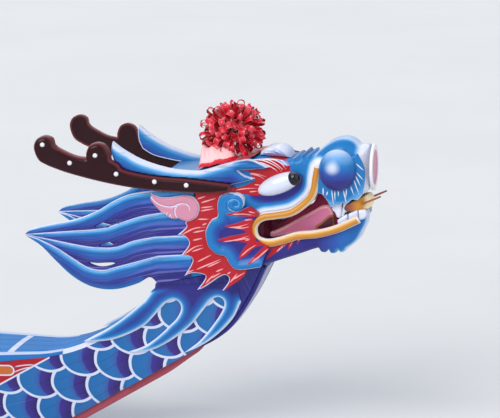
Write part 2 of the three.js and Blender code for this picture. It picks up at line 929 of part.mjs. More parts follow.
// Stern
const tailBlockOutline = mirrorEnds(neckOutline);
const tailFinOutline = [
  [-5205, 840.3],
  [-5715, 933.7],
  ...spline([
    [-5800, 1090],
    [-5960, 1190],
    [-6190, 1230],
  ]),
  ...spline([
    [-6060, 1290],
    [-5950, 1310],
    [-6090, 1400],
    [-6230, 1440],
  ]),
  ...spline([
    [-6080, 1490],
    [-5930, 1470],
    [-5990, 1580],
    [-6100, 1660],
  ]),
  ...spline([
    [-5880, 1640],
    [-5700, 1520],
    [-5560, 1320],
    [-5400, 1110],
    [-5240, 960],
  ]),
];
const tailFlameOutline = [
  [-5230, 866],
  [-5690, 948],
  ...spline([
    [-5740, 1050],
    [-5860, 1170],
    [-6010, 1240],
  ]),
  ...spline([
    [-5880, 1250],
    [-5760, 1230],
    [-5800, 1330],
    [-5870, 1420],
  ]),
  ...spline([
    [-5720, 1350],
    [-5560, 1180],
    [-5420, 1050],
    [-5280, 960],
  ]),
];
const TAIL = { finHalf: 45, flameHalf: 81 };

function buildTail() {
  add("tail_block", blockBetween(tailBlockOutline, sideHalf), DEEP_BLUE);
  add("sternpost", stem(-1), WHITE);
  const fin = blockBetween(tailFinOutline, () => TAIL.finHalf);
  add("tail_fin", join(fin, blockBetween(tailFlameOutline, () => TAIL.flameHalf)), AZURE);
}

// Drum
const DRUM = { x: 3500, foot: 250, radius: 225, belly: 250, height: 340 };
const DRUM_STAND = { spread: 95, leg: 20, rung: 50, reach: 160 };

function buildDrum() {
  const standTop = DRUM.foot;
  const profile = [
    [0, 0],
    [DRUM.radius - 20, 0],
    [DRUM.radius, 30],
    [DRUM.belly, DRUM.height / 2],
    [DRUM.radius, DRUM.height - 30],
    [DRUM.radius - 20, DRUM.height],
    [0, DRUM.height],
  ].map(([r, z]) => new THREE.Vector2(r, z));
  const shell = new THREE.LatheGeometry(profile, 28).rotateX(Math.PI / 2);
  add("drum", shell.translate(DRUM.x, 0, standTop + GAP), RED);
  const { spread, leg, rung, reach } = DRUM_STAND;
  const timbers = [];
  for (const x of [DRUM.x - spread, DRUM.x + spread]) {
    const floorTop = betweenStations(floorZ, x + leg) + FLOOR.thick + GAP;
    for (const y of [-spread, spread]) {
      timbers.push(box(x - leg, x + leg, y - leg, y + leg, floorTop, standTop - 5));
    }
    timbers.push(box(x - leg, x + leg, -reach, reach, standTop - rung, standTop));
  }
  for (const y of [-spread, spread]) {
    timbers.push(box(DRUM.x - reach, DRUM.x + reach, y - leg + 4, y + leg - 4, standTop - rung, standTop));
  }
  add("drum_stand", join(...timbers), DARK_WOOD);
}

// Steering oar, its crutch and the beam that carries them
function buildOar() {
  const [px, py, pz] = OAR.pivot;
  const beamFoot = sheerZ(px - OAR_BEAM.half) + GAP;
  const beamTop = beamFoot + OAR_BEAM.height;
  const beam = box(px - OAR_BEAM.half, px + OAR_BEAM.half, OAR_BEAM.from, OAR_BEAM.to, beamFoot, beamTop);
  const hole = cylinder(CRUTCH.hole, CRUTCH.through, 24, px, py, beamTop);
  add("oar_beam", cut(beam, hole), WOOD);

  const seatTop = pz - CRUTCH.seatDrop;
  const seatFoot = seatTop - CRUTCH.seatThick;
  const [aft, fore] = [px - CRUTCH.armHalf, px + CRUTCH.armHalf];
  const arms = [
    [py + CRUTCH.armIn, py + CRUTCH.armOut],
    [py - CRUTCH.armOut, py - CRUTCH.armIn],
  ].map(([right, left]) => box(aft, fore, right, left, seatFoot, pz + CRUTCH.armRise));
  const crutch = join(
    cylinder(CRUTCH.pin, 80, 24, px, py, beamTop - 34),
    cylinder(CRUTCH.disc, 10, 24, px, py, beamTop + GAP + 5),
    cylinder(CRUTCH.stem, seatTop - beamTop - 4, 16, px, py, (seatTop + beamTop) / 2 - 2),
    box(aft, fore, py - CRUTCH.armOut, py + CRUTCH.armOut, seatFoot, seatTop),
    ...arms,
  );
  const pinHole = cylinder(TRUNNION.hole, CRUTCH.through, 24, px, py, pz, "y");
  add("oar_crutch", cut(crutch, pinHole), STEEL);

  const length = OAR.forward + OAR.aft - OAR.blade;
  const bladeFrom = -(OAR.aft - OAR.blade);
  const shaft = cylinder(OAR.shaft, length + 60, 16, bladeFrom - 60 + (length + 60) / 2, 0, 0, "x");
  const handle = cylinder(16, 260, 12, OAR.forward - 60, 0, 0, "z");
  const blade = board(
    [
      [bladeFrom, -30],
      [bladeFrom - 160, -OAR.bladeHalf],
      [-OAR.aft, -OAR.bladeHalf],
      [-OAR.aft, OAR.bladeHalf],
      [bladeFrom - 160, OAR.bladeHalf],
      [bladeFrom, 30],
    ],
    () => -OAR.bladeThick / 2,
    () => OAR.bladeThick / 2,
  );
  const collar = cylinder(27, 70, 16, 0, 0, 0, "x");
  const trunnion = cylinder(TRUNNION.radius, 96, 24, 0, 0, 0, "y");
  const oar = add("steering_oar", join(shaft, handle, blade, collar, trunnion), WOOD);
  oar.position.set(px, py, pz);
  oar.rotation.y = -THREE.MathUtils.degToRad(OAR.slope);
}

function buildHull() {
  add("keel", keel(-KEEL_BUTT + GAP / 2, KEEL_BUTT - GAP / 2), KEEL_RED);
  for (const [length, from, to] of lengths(BOTTOM_BUTT, HULL_END)) {
    add(`hull_bottom_${length}`, bottomPlanks(from, to), DEEP_BLUE);
  }
  for (const [side, name] of [[-1, "starboard"], [1, "port"]]) {
    for (const [length, from, to] of lengths(SIDE_BUTT, HULL_END)) {
      add(`hull_side_${name}_${length}`, sidePlanks(side, from, to), AZURE);
    }
    add(`gunwale_${name}`, rail(side), SKY_BLUE);
    add(`side_frames_${name}`, sideFrames(side), DARK_WOOD);
  }
  add("foredeck", deck(FOREDECK_FROM, HULL_END - GAP), SKY_BLUE);
  add("afterdeck", deck(-HULL_END + GAP, AFTERDECK_FROM), SKY_BLUE);
  add("floor_timbers", floorTimbers(), DARK_WOOD);
  add("thwarts", thwartsAndRisers(), WOOD);
  add("floorboards", floorboards(), WOOD);
}

buildHull();
buildHead();
buildRibbon();
buildTail();
buildDrum();
buildOar();

export default group;
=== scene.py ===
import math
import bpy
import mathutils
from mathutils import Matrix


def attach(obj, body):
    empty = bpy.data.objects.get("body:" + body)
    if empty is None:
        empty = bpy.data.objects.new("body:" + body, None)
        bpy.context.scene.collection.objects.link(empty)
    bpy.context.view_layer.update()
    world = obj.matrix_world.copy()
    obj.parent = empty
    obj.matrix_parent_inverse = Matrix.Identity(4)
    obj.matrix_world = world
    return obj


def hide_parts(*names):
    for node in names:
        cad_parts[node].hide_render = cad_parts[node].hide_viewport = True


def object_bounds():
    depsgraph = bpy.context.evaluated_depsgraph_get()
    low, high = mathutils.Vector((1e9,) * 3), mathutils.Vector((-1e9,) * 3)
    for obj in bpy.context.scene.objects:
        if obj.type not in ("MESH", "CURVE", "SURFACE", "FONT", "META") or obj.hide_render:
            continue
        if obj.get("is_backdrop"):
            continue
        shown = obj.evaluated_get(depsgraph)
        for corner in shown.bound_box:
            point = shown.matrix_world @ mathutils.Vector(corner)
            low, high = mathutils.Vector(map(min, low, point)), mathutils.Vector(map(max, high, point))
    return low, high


bl_info = {
    "name": "Dragon Boat",
    "version": (1, 0, 0),
    "blender": (4, 5, 0),
    "location": "3D View > Sidebar > Dragon Boat",
    "description": "Carving, paint, timber and ribbon for a wooden racing boat with a dragon's head",
    "category": "Object",
}

from functools import partial

import bpy
import numpy as np
from bpy.props import FloatProperty, FloatVectorProperty, IntProperty, PointerProperty
from mathutils import Vector
from mathutils.geometry import delaunay_2d_cdt

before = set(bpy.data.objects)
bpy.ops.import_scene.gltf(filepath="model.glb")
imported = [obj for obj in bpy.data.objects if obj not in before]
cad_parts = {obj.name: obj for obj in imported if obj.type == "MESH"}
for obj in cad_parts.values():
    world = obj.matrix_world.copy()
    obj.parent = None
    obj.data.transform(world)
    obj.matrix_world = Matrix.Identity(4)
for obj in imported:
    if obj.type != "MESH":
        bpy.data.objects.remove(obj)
CAD_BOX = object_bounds()

# Hull form, in metres, as the solid model has it
HALF_BEAM = 0.680
DECK_Z = 0.450
SHEER_MIDSHIP_Z = 0.400
FLARE = 0.333
BEAM_CURVE = 0.0225
STRAIGHT_FROM = 4.4
STRAIGHT_SLOPE = 0.198
DRAFT = 0.180
OVERHANG_SLOPE = 0.6
OVERHANG_END = 5.4
OVERHANG_BLEND = 0.1
SHEER_RISE_FROM = 4.55
SHEER_RISE = 0.82
PLANK = 0.022
HULL_END = 5.0
DEADRISE = 0.1
KEEL_HALF = 0.030
KEEL_DEPTH = 0.045
RAIL_CAP = 0.025
GAP = 0.0003

RAIL_END = 4.7
RAIL_BREADTH = 0.035
STRAKE_GROOVE = 0.0014
DECK_GROOVE = 0.0016
GROOVE_HALF = 0.003
DECK_THICK = 0.0247
FOREDECK_FROM = 3.85
AFTERDECK_FROM = 4.0
DECK_BOARD = 0.105

# Points across a strake, with its edges close together, for six strakes on each side
STRAKES = 6
STRAKE_SHARES = np.array([0, 0.014, 0.2, 0.5, 0.8, 0.986, 1])
STRAKE_POINTS = np.unique(np.concatenate([(i + STRAKE_SHARES) / STRAKES for i in range(STRAKES)]))
STRAKE_EDGE = np.isclose((STRAKE_POINTS * STRAKES) % 1, 0) & (STRAKE_POINTS > 0) & (STRAKE_POINTS < 1)

# Points across the deck: each groove between two boards has a point at its bottom and one at each side
DECK_GROOVE_AT = np.arange(-5.5, 6.0, 1.0) * DECK_BOARD
DECK_ROWS = np.sort(np.r_[DECK_GROOVE_AT - GROOVE_HALF, DECK_GROOVE_AT, DECK_GROOVE_AT + GROOVE_HALF])
DECK_GROOVES = np.isin(DECK_ROWS, DECK_GROOVE_AT)

# Head form: its flat sides narrow towards the nose
HEAD_HALF = 0.1875
HEAD_AT = 5.55
HEAD_TAPER = 0.125

# Drum and steering oar. Each row of the blade: place along the shaft, half the width, half the thickness
DRUM_AT = (3.5, 0.25)
DRUM_HEIGHT = 0.34
OAR_PIVOT = (-4.45, 0.43, 0.64)
OAR_SLOPE = 27.0
OAR_BLADE = (
    (-1.75, 0.050, 0.004), (-1.735, 0.080, 0.005), (-1.70, 0.100, 0.007), (-1.60, 0.105, 0.009),
    (-1.30, 0.105, 0.012), (-1.15, 0.085, 0.016), (-1.03, 0.035, 0.021), (-0.98, 0.023, 0.023),
    (0.5, 0.023, 0.023), (1.25, 0.021, 0.021),
)

# Camera: where it looks, from what side and how far away
LOOK_AT = (5.66, -0.12, 1.221)
AZIMUTH = 12.5
ELEVATION = 10.5
DISTANCE = 19.0
LENS = 273.6

SIDES = (("starboard", -1), ("port", 1))


def tint(code):
    """The linear colour that a hex code stands for."""
    parts = [int(code[i : i + 2], 16) / 255 for i in (0, 2, 4)]
    return tuple(p / 12.92 if p <= 0.04045 else ((p + 0.055) / 1.055) ** 2.4 for p in parts)


def paint_property(name, code, description):
    return FloatVectorProperty(
        name=name, description=description, subtype="COLOR", size=3, min=0.0, max=1.0, default=tint(code)
    )


class BoatPaints(bpy.types.PropertyGroup):
    """The colours of the boat's paints, timber and ribbon."""

    azure: paint_property("Azure", "1274b8", "Main blue of scales, claws and strands")
    light: paint_property("Light azure", "5da6e0", "Azure where it turns towards the pale edges")
    blue: paint_property("Blue", "1f4fa6", "Middle blue between azure and violet")
    violet: paint_property("Violet", "28247c", "Deep blue-violet in the shaded places")
    night: paint_property("Night violet", "2b1c66", "Darkest violet, at the root of each scale")
    sky: paint_property("Sky blue", "2a80cc", "Decks and gunwales")
    pale: paint_property("Pale edge", "d5dcf0", "White edges, outlines and hair strokes")
    white: paint_property("White", "eceaf0", "Eyes, teeth and nose")
    red: paint_property("Red", "b20f20", "Ruff and flames")
    rose: paint_property("Rose", "f0a8ac", "Strokes on the red")
    pink: paint_property("Pink", "cf8aa2", "Ears, tongue and nose disc")
    gold: paint_property("Gold", "cc8826", "Lips")
    cream: paint_property("Cream", "f6dfb0", "Highlights and outlines on the gold")
    maroon: paint_property("Maroon", "2a0a10", "Front of the horns")
    # Russet is a painted highlight on the horns' rounded edges
    russet: paint_property("Russet", "6b2f33", "Rounded edges of the horns")
    lavender: paint_property("Lavender", "b9c3ea", "Brow and the skirt of the nostrils")
    whisker: paint_property("Copper", "9a5a3c", "Whiskers")
    brow: paint_property("Brow", "7685cc", "Brow between its white hair strokes")
    tongue: paint_property("Tongue", "cc6f93", "Tongue")
    mouth: paint_property("Mouth", "8a1c42", "Inside of the mouth")
    # Dark red is painted shade deep in the mouth
    night_red: paint_property("Dark red", "4a1024", "Deepest part of the mouth")
    keel: paint_property("Keel red", "a84a58", "Keel, stem foot and sternpost foot")
    satin: paint_property("Ribbon", "d41430", "Satin ribbon of the rosette and the sash")
    timber: paint_property("Timber", "9c6c3c", "Thwarts, floorboards and oar")
    dark_timber: paint_property("Dark timber", "5f3d22", "Floor timbers, frames and drum stand")


def length_property(name, default, low, high, description):
    return FloatProperty(
        name=name, description=description, default=default, min=low, max=high, unit="LENGTH"
    )


class BoatSizes(bpy.types.PropertyGroup):
    """The sizes of the painted patterns and the fineness of the carving."""

    scale_pitch: length_property("Scale pitch", 0.170, 0.05, 0.5, "From one fish scale to the next one")
    scale_row: length_property("Scale row", 0.128, 0.05, 0.5, "From one row of fish scales to the next")
    rim: length_property("Rim", 0.006, 0.001, 0.03, "Width of the pale outline on carved boards")
    grid: length_property("Grid", 0.006, 0.003, 0.02, "Distance between the points of a carved face")
    ribbon_loops: IntProperty(
        name="Ribbon loops", description="How many loops the rosette has", default=160, min=12, max=320
    )


def paints():
    return bpy.context.scene.boat_paints


def sizes():
    return bpy.context.scene.boat_sizes


def colour(paint):
    """The linear colour of a paint's name or of a hex code. A colour itself stays as it is."""
    if not isinstance(paint, str):
        return paint
    return tuple(getattr(paints(), paint)) if hasattr(paints(), paint) else tint(paint)


# Shader trees


class Term:
    """A value in a node tree. Arithmetic on it adds Math nodes."""

    def __init__(self, graph, socket):
        self.graph = graph
        self.socket = socket

    def op(self, kind, other=0.0, third=0.0):
        node = self.graph.tree.nodes.new("ShaderNodeMath")
        node.operation = kind
        for socket, value in zip(node.inputs, (self, other, third)):
            self.graph.put(socket, value)
        return Term(self.graph, node.outputs[0])

    def __rsub__(self, other):
        return self.op("MULTIPLY_ADD", -1.0, other)

    def step(self, start, end):
        """From 0 at start to 1 at end, smoothly."""
        values = {"Value": self, "From Min": start, "From Max": end}
        node = self.graph.node("ShaderNodeMapRange", values, interpolation_type="SMOOTHSTEP")
        return Term(self.graph, node.outputs["Result"])


MATHS = {
    "__add__": "ADD", "__radd__": "ADD", "__sub__": "SUBTRACT", "__mul__": "MULTIPLY", "__rmul__": "MULTIPLY",
    "__truediv__": "DIVIDE", "power": "POWER", "above": "GREATER_THAN", "high": "MAXIMUM", "sine": "SINE",
    "absolute": "ABSOLUTE", "fraction": "FRACT", "ceiling": "CEIL", "modulo": "MODULO",
}
for method, operation in MATHS.items():
    setattr(Term, method, lambda self, other=0.0, kind=operation: self.op(kind, other))


class Graph:
    """Adds nodes to a tree and joins them, so that a material reads as a list of steps."""

    def __init__(self, tree):
        self.tree = tree

    def put(self, socket, value):
        if isinstance(value, Term):
            value = value.socket
        if isinstance(value, bpy.types.NodeSocket):
            self.tree.links.new(value, socket)
        elif socket.type == "RGBA":
            socket.default_value = (*colour(value), 1.0)
        else:
            socket.default_value = value

    def node(self, kind, inputs=None, **settings):
        made = self.tree.nodes.new(kind)
        for name, value in settings.items():
            setattr(made, name, value)
        self.fill(made, inputs or {})
        return made

    def fill(self, node, inputs):
        for name, value in inputs.items():
            self.put(node.inputs[name], value)

    def attribute(self, name):
        return Term(self, self.node("ShaderNodeAttribute", attribute_name=name).outputs["Fac"])

    def place(self):
        """The point on the object, which is its place on the boat, as a vector and three values."""
        vector = self.node("ShaderNodeTexCoord").outputs["Object"]
        split = self.node("ShaderNodeSeparateXYZ", {"Vector": vector})
        return vector, *(Term(self, split.outputs[axis]) for axis in "XYZ")

    def flat(self):
        """The piece's own UV map as two values."""
        vector = self.node("ShaderNodeUVMap", uv_map="UVMap").outputs["UV"]
        split = self.node("ShaderNodeSeparateXYZ", {"Vector": vector})
        return [Term(self, split.outputs[axis]) for axis in "XY"]

    def vector(self, x, y, z=0.0):
        return self.node("ShaderNodeCombineXYZ", {"X": x, "Y": y, "Z": z}).outputs["Vector"]

    def noise(self, vector, scale, detail=2.0, roughness=0.5):
        values = {"Vector": vector, "Scale": scale, "Detail": detail, "Roughness": roughness}
        return Term(self, self.node("ShaderNodeTexNoise", values).outputs["Fac"])

    def bump(self, height, strength, distance):
        node = self.node("ShaderNodeBump", {"Height": height, "Strength": strength, "Distance": distance})
        return node.outputs["Normal"]

    def mix(self, amount, first, second):
        node = self.node("ShaderNodeMix", data_type="RGBA", clamp_factor=True)
        self.put(node.inputs[0], amount)
        self.put(node.inputs[6], first)
        self.put(node.inputs[7], second)
        return node.outputs[2]

    def ramp(self, amount, stops):
        node = self.node("ShaderNodeValToRGB", {"Fac": amount})
        elements = node.color_ramp.elements
        while len(elements) < len(stops):
            elements.new(0.5)
        for element, (at, shade) in zip(elements, stops):
            element.position = at
            element.color = (*colour(shade), 1.0)
        return node.outputs["Color"]

    def group(self, name, **inputs):
        node = self.node("ShaderNodeGroup", node_tree=bpy.data.node_groups[name])
        self.fill(node, inputs)
        return {socket.name: Term(self, socket) for socket in node.outputs}


def shader_group(build, inputs, outputs):
    """A node group named after the function that makes its body. Every socket but Vector holds a value."""
    tree = bpy.data.node_groups.new(build.__name__, "ShaderNodeTree")
    for key in inputs:
        kind = "NodeSocketVector" if key == "Vector" else "NodeSocketFloat"
        tree.interface.new_socket(key, in_out="INPUT", socket_type=kind)
    for key in outputs:
        tree.interface.new_socket(key, in_out="OUTPUT", socket_type="NodeSocketFloat")
    graph = Graph(tree)
    entry = graph.node("NodeGroupInput")
    made = build(graph, **{key: Term(graph, entry.outputs[key]) for key in inputs})
    graph.node("NodeGroupOutput", {key: made[key] for key in outputs})


def fish_scales(graph, Along, Up):
    """Rows of overlapping round scales. Along and Up count pitches and rows. Each scale overlaps the next one
    aft and the row below. Inward is how far in from its own outline the scale on top is, in metres. Across is
    the share of the way from its own outline to that of the next scale."""
    reach, middle, below, above = 0.64, 0.40, 0.60, 0.85
    long, high = reach * sizes().scale_pitch, below * sizes().scale_row * 1.2

    def inward(across, down):
        wide = ((across - reach) / reach).absolute()
        deep = ((down + middle) / above).high((down + middle) / -below)
        size = (wide * wide + deep * deep).power(0.5)
        slope = ((wide / long).power(2.0) + (deep / high).power(2.0)).power(0.5)
        edge = reach - (1.0 - deep * deep).high(0.0).power(0.5) * reach
        return (1.0 - size) / slope.high(0.5), across - edge

    def row(number):
        shift = number.above(2.5) * 0.17 - 0.22
        along = (Along + shift - (number.modulo(2.0).absolute() * 0.5)).fraction()
        down = Up - number
        own, own_share = inward(along, down)
        behind, behind_share = inward(along + 1.0, down)
        on_own = own.above(0.0)
        off = 1.0 - on_own
        return own * on_own + behind * off, own_share * on_own + behind_share * off

    upper = Up.ceiling()
    top, top_share = row(upper)
    under, under_share = row(upper - 1.0)
    on_top = top.above(0.0)
    off = 1.0 - on_top
    return {"Inward": top * on_top + under * off, "Across": top_share * on_top + under_share * off}


def paint_wear(graph, Vector, Chips, Dust):
    """Wear of brushed enamel: chips, dust in the low places, and a height with brush marks and grain."""
    cloud = graph.noise(Vector, 3.1, 5.0, 0.6)
    spots = graph.noise(Vector, 46.0, 3.0, 0.7)
    worn = graph.noise(Vector, 7.0, 3.0, 0.6)
    fine = graph.noise(Vector, 190.0, 2.0, 0.6)
    chips = (spots * 0.7 + worn * 0.3).step(0.66, 0.69) * Chips
    dust = cloud.step(0.42, 0.75) * Dust
    height = fine * 0.35 + spots * 0.4 + cloud * 0.25 - chips * 0.5
    return {"Chips": chips, "Dust": dust, "Height": height}


def brush_lines(graph, Along, Across, Lines):
    """Fine lines left by a brush that was drawn along a carved strand."""
    coarse = graph.noise(graph.vector(Along * 2.2, Across * Lines), 1.0, 1.0, 0.4)
    fine = graph.noise(graph.vector(Along * 4.0, Across * Lines * 2.0, 4.0), 1.0, 1.0, 0.4)
    light = coarse.step(0.56, 0.66) * 0.8 + fine.step(0.6, 0.7) * 0.4
    return {"Light": light, "Shade": coarse.step(0.46, 0.34)}


def timber_grain(graph, Along, Across, Depth):
    """Growth rings, fine pores and slow colour changes of sawn timber, drawn out along the board."""
    stretched = graph.vector(Along * 0.9, Across * 9.0, Depth * 9.0)
    bend = graph.noise(stretched, 1.6, 3.0, 0.5)
    rings = (bend * 9.0 + Across * 22.0).sine() * 0.5 + 0.5
    pores = graph.noise(graph.vector(Along * 14.0, Across * 420.0, Depth * 420.0), 1.0, 2.0, 0.6)
    patch = graph.noise(graph.vector(Along * 1.3, Across * 4.0, Depth * 4.0), 1.0, 2.0, 0.5)
    return {"Rings": rings * 0.6 + pores * 0.4, "Pores": pores.step(0.6, 0.74), "Patch": patch}


def satin_weave(graph, Along, Across):
    """Fine ribs of a woven ribbon, with soft streaks along it."""
    ribs = graph.noise(graph.vector(Along * 60.0, Across * 1400.0), 1.0, 1.0, 0.5)
    streaks = graph.noise(graph.vector(Along * 6.0, Across * 90.0), 1.0, 2.0, 0.5)
    return {"Ribs": ribs, "Streaks": streaks}


def make_groups():
    for build, inputs, outputs in (
        (fish_scales, "Along Up", "Inward Across"),
        (red_band, "Along Up", "Red Line Cartouche"),
        (paint_wear, "Vector Chips Dust", "Chips Dust Height"),
        (brush_lines, "Along Across Lines", "Light Shade"),
        (timber_grain, "Along Across Depth", "Rings Pores Patch"),
        (satin_weave, "Along Across", "Ribs Streaks"),
    ):
        shader_group(build, inputs.split(), outputs.split())


def new_material(name):
    material = bpy.data.materials.new(name)
    material.use_nodes = True
    return material, Graph(material.node_tree), material.node_tree.nodes["Principled BSDF"]


def enamel_finish(graph, shader, shade, rough=0.36, chips=0.25, dust=0.12, coat=0.12, bump=0.25, shine=0.3):
    """Gloss enamel over the given colour, with chips, dust and brush marks."""
    wear = graph.group("paint_wear", Vector=graph.place()[0], Chips=chips, Dust=dust)
    dusty = graph.mix(wear["Dust"] * 0.35, shade, "8f8f98")
    graph.fill(shader, {
        "Base Color": graph.mix(wear["Chips"] * 0.6, dusty, "b9a58c"),
        "Roughness": wear["Dust"] * 0.25 + wear["Chips"] * 0.3 + rough,
        "Normal": graph.bump(wear["Height"], bump, 0.0015),
        "Specular IOR Level": shine,
        "Coat Weight": coat,
        "Coat Roughness": 0.12,
    })


def slow_drift(graph, vector):
    return graph.noise(vector, 2.3, 3.0).step(0.35, 0.7)


def plain_enamel(name, paint, second=None, **finish):
    """One colour of enamel that drifts slowly towards a second one."""
    material, graph, shader = new_material(name)
    shade = graph.mix(slow_drift(graph, graph.place()[0]), paint, second or paint)
    enamel_finish(graph, shader, shade, **finish)
    return material


def timber(name, paint, along="X", gloss=0.5):
    """Oiled timber whose grain runs along one axis of the boat."""
    material, graph, shader = new_material(name)
    vector, x, y, z = graph.place()
    axes = {"X": (x, y, z), "Y": (y, x, z), "Z": (z, x, y)}[along]
    grain = graph.group("timber_grain", Along=axes[0], Across=axes[1], Depth=axes[2])
    base = colour(paint)
    dark = tuple(c * 0.45 for c in base)
    light = tuple(min(1.0, c * 1.35) for c in base)
    shade = graph.mix(grain["Rings"], light, base)
    shade = graph.mix(grain["Patch"].step(0.4, 0.75) * 0.6, shade, dark)
    shade = graph.mix(grain["Pores"] * 0.7, shade, dark)
    wear = graph.group("paint_wear", Vector=vector, Chips=0.0, Dust=0.6)
    graph.fill(shader, {
        "Base Color": graph.mix(wear["Dust"] * 0.3, shade, "a59a88"),
        "Roughness": grain["Pores"] * 0.2 + wear["Dust"] * 0.2 + gloss,
        "Normal": graph.bump(grain["Rings"] * 0.5 - grain["Pores"], 0.35, 0.001),
    })
    return material


def set_material(material, *nodes):
    for node in nodes:
        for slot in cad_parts[node].material_slots:
            slot.material = material


# Curves and distances in the side view, as arrays of x and z


def smooth(points, steps=6, closed=False):
    """A Catmull-Rom curve through the points."""
    line = np.asarray(points, float)
    if len(line) < 3:
        return line
    if closed:
        line = np.vstack([line[-1], line, line[0], line[1]])
    else:
        line = np.vstack([2 * line[0] - line[1], line, 2 * line[-1] - line[-2]])
    t = np.linspace(0, 1, steps, endpoint=False)[:, None]
    parts = []
    for a, b, c, d in zip(line[:-3], line[1:-2], line[2:-1], line[3:]):
        bend = 2 * a - 5 * b + 4 * c - d
        parts.append(0.5 * (2 * b + (c - a) * t + bend * t**2 + (3 * b - a - 3 * c + d) * t**3))
    if not closed:
        parts.append(line[-2:-1])
    return np.vstack(parts)


def resample(line, spacing, closed=True):
    """Even points along a line, keeping its corners."""
    points = np.vstack([line, line[:1]]) if closed else np.asarray(line)
    made = []
    for a, b in zip(points[:-1], points[1:]):
        count = max(1, round(float(np.linalg.norm(b - a)) / spacing))
        made.append(a + (b - a) * np.linspace(0, 1, count, endpoint=False)[:, None])
    if not closed:
        made.append(points[-1:])
    return np.vstack(made)


def distance(points, line, closed=False):
    """The distance from each point to a line, and where along the line the nearest place is, from 0 to 1."""
    ends = np.vstack([line, line[:1]]) if closed else np.asarray(line)
    best = np.full(len(points), 1e9)
    where = np.zeros(len(points))
    lengths = np.linalg.norm(np.diff(ends, axis=0), axis=1)
    starts = np.concatenate([[0.0], np.cumsum(lengths)])
    for a, b, length, start in zip(ends[:-1], ends[1:], lengths, starts):
        if length < 1e-9:
            continue
        along = np.clip(((points - a) @ (b - a)) / length**2, 0, 1)
        away = np.linalg.norm(points - (a + along[:, None] * (b - a)), axis=1)
        nearer = away < best
        best[nearer] = away[nearer]
        where[nearer] = (start + along * length)[nearer]
    return best, where / max(starts[-1], 1e-9)


def inside(points, outline):
    """Whether each point is inside a closed outline."""
    x, z = points[:, 0], points[:, 1]
    result = np.zeros(len(points), bool)
    for (x0, z0), (x1, z1) in zip(outline, np.roll(outline, -1, axis=0)):
        if z0 == z1:
            continue
        crosses = (z0 > z) != (z1 > z)
        result ^= crosses & (x < (x1 - x0) * (z - z0) / (z1 - z0) + x0)
    return result


def depth_in(points, outlines):
    """How deep each point is inside the nearest of some closed outlines, negative outside."""
    best = np.full(len(points), -1.0)
    for outline in outlines:
        away = distance(points, outline, closed=True)[0]
        best = np.maximum(best, np.where(inside(points, outline), away, -away))
    return best


# Carved faces


# How far from a guide line the rows of points beside it are
GUIDE_ROWS = (-0.0018, 0.0, 0.002, 0.0055)


class Face:
    """A flat region of the side view, cut into even triangles: its points, its triangles and its border."""

    def __init__(self, outline, holes=(), spacing=None, rings=(0.0015, 0.004), guides=()):
        spacing = spacing or sizes().grid
        self.loops = [resample(np.asarray(outline, float), spacing)]
        self.loops += [resample(hole, spacing * 0.7) for hole in holes]
        border = np.vstack(self.loops)
        low, high = border.min(axis=0), border.max(axis=0)
        columns = np.arange(low[0] - spacing, high[0] + spacing, spacing)
        heights = np.arange(low[1], high[1], spacing * 0.866)
        level = np.ones(len(columns))
        rows = [np.c_[columns + (i % 2) * spacing / 2, level * z] for i, z in enumerate(heights)]
        inner = [self.clear(np.vstack(rows), max((0.55 * spacing, *rings[-1:])))]
        for guide in guides:
            line = resample(guide, spacing, closed=False)
            ahead = np.gradient(line, axis=0)
            normal = np.c_[ahead[:, 1], -ahead[:, 0]] / np.linalg.norm(ahead, axis=1)[:, None]
            inner[0] = inner[0][distance(inner[0], line)[0] >= spacing]
            for inset in GUIDE_ROWS:
                inner.append(self.clear(line + normal * inset, 0.003))
        for inset in rings:
            for loop in self.loops:
                ahead = np.roll(loop, -1, axis=0) - np.roll(loop, 1, axis=0)
                normal = np.c_[-ahead[:, 1], ahead[:, 0]]
                normal /= np.maximum(np.linalg.norm(normal, axis=1), 1e-9)[:, None]
                for sign in (1, -1):
                    inner.append(self.clear(loop + normal * inset * sign, inset * 0.93))
        edges = []
        start = 0
        for loop in self.loops:
            edges += [(start + i, start + (i + 1) % len(loop)) for i in range(len(loop))]
            start += len(loop)
        made = delaunay_2d_cdt([Vector(p) for p in np.vstack([border, *inner])], edges, [], 0, 1e-7)
        points = np.array([tuple(p) for p in made[0]])
        triangles = np.array([t for t in made[2] if len(t) == 3])
        triangles = triangles[self.within(points[triangles].mean(axis=1))]
        a, b, c = (points[triangles[:, i]] for i in range(3))
        turn = (b[:, 0] - a[:, 0]) * (c[:, 1] - a[:, 1]) - (b[:, 1] - a[:, 1]) * (c[:, 0] - a[:, 0])
        triangles[turn < 0] = triangles[turn < 0][:, ::-1]
        used, index = np.unique(triangles[np.abs(turn) > 1e-12], return_inverse=True)
        self.points = points[used]
        self.x, self.z = self.points.T
        self.triangles = index.reshape(-1, 3)
        self.edge = self.border_distance(self.points)

    def within(self, points):
        result = inside(points, self.loops[0])
        for hole in self.loops[1:]:
            result &= ~inside(points, hole)
        return result

    def border_distance(self, points):
        return np.min([distance(points, loop, closed=True)[0] for loop in self.loops], axis=0)

    def clear(self, points, least):
        """The points that are inside and farther from the border than a distance."""
        points = points[self.within(points)]
        return points[self.border_distance(points) > least]

    def away(self, line):
        """How far each point is from a line."""
        return distance(self.points, line)[0]

    def depth(self, rows):
        """How deep each point is in some round-cornered outlines, given in millimetres."""
        return depth_in(self.points, [curve(row, 4, closed=True) for row in rows])

    def strokes(self, rows, width):
        """How deep each point is in some painted strokes: pointed lines, widest a third along."""
        best = np.full(len(self.points), -1.0)
        for row in rows:
            away, where = distance(self.points, curve(row, 5))
            full = width * np.minimum(1.0, 0.25 + 2.6 * where) * np.sqrt(np.clip(1.02 - where, 0, 1))
            best = np.maximum(best, full - away)
        return best

    def border(self):
        """The directed edges that only one triangle has."""
        pairs = {}
        for triangle in self.triangles:
            for a, b in zip(triangle, np.roll(triangle, -1)):
                pairs[(int(a), int(b))] = True
        return [(a, b) for a, b in pairs if (b, a) not in pairs]


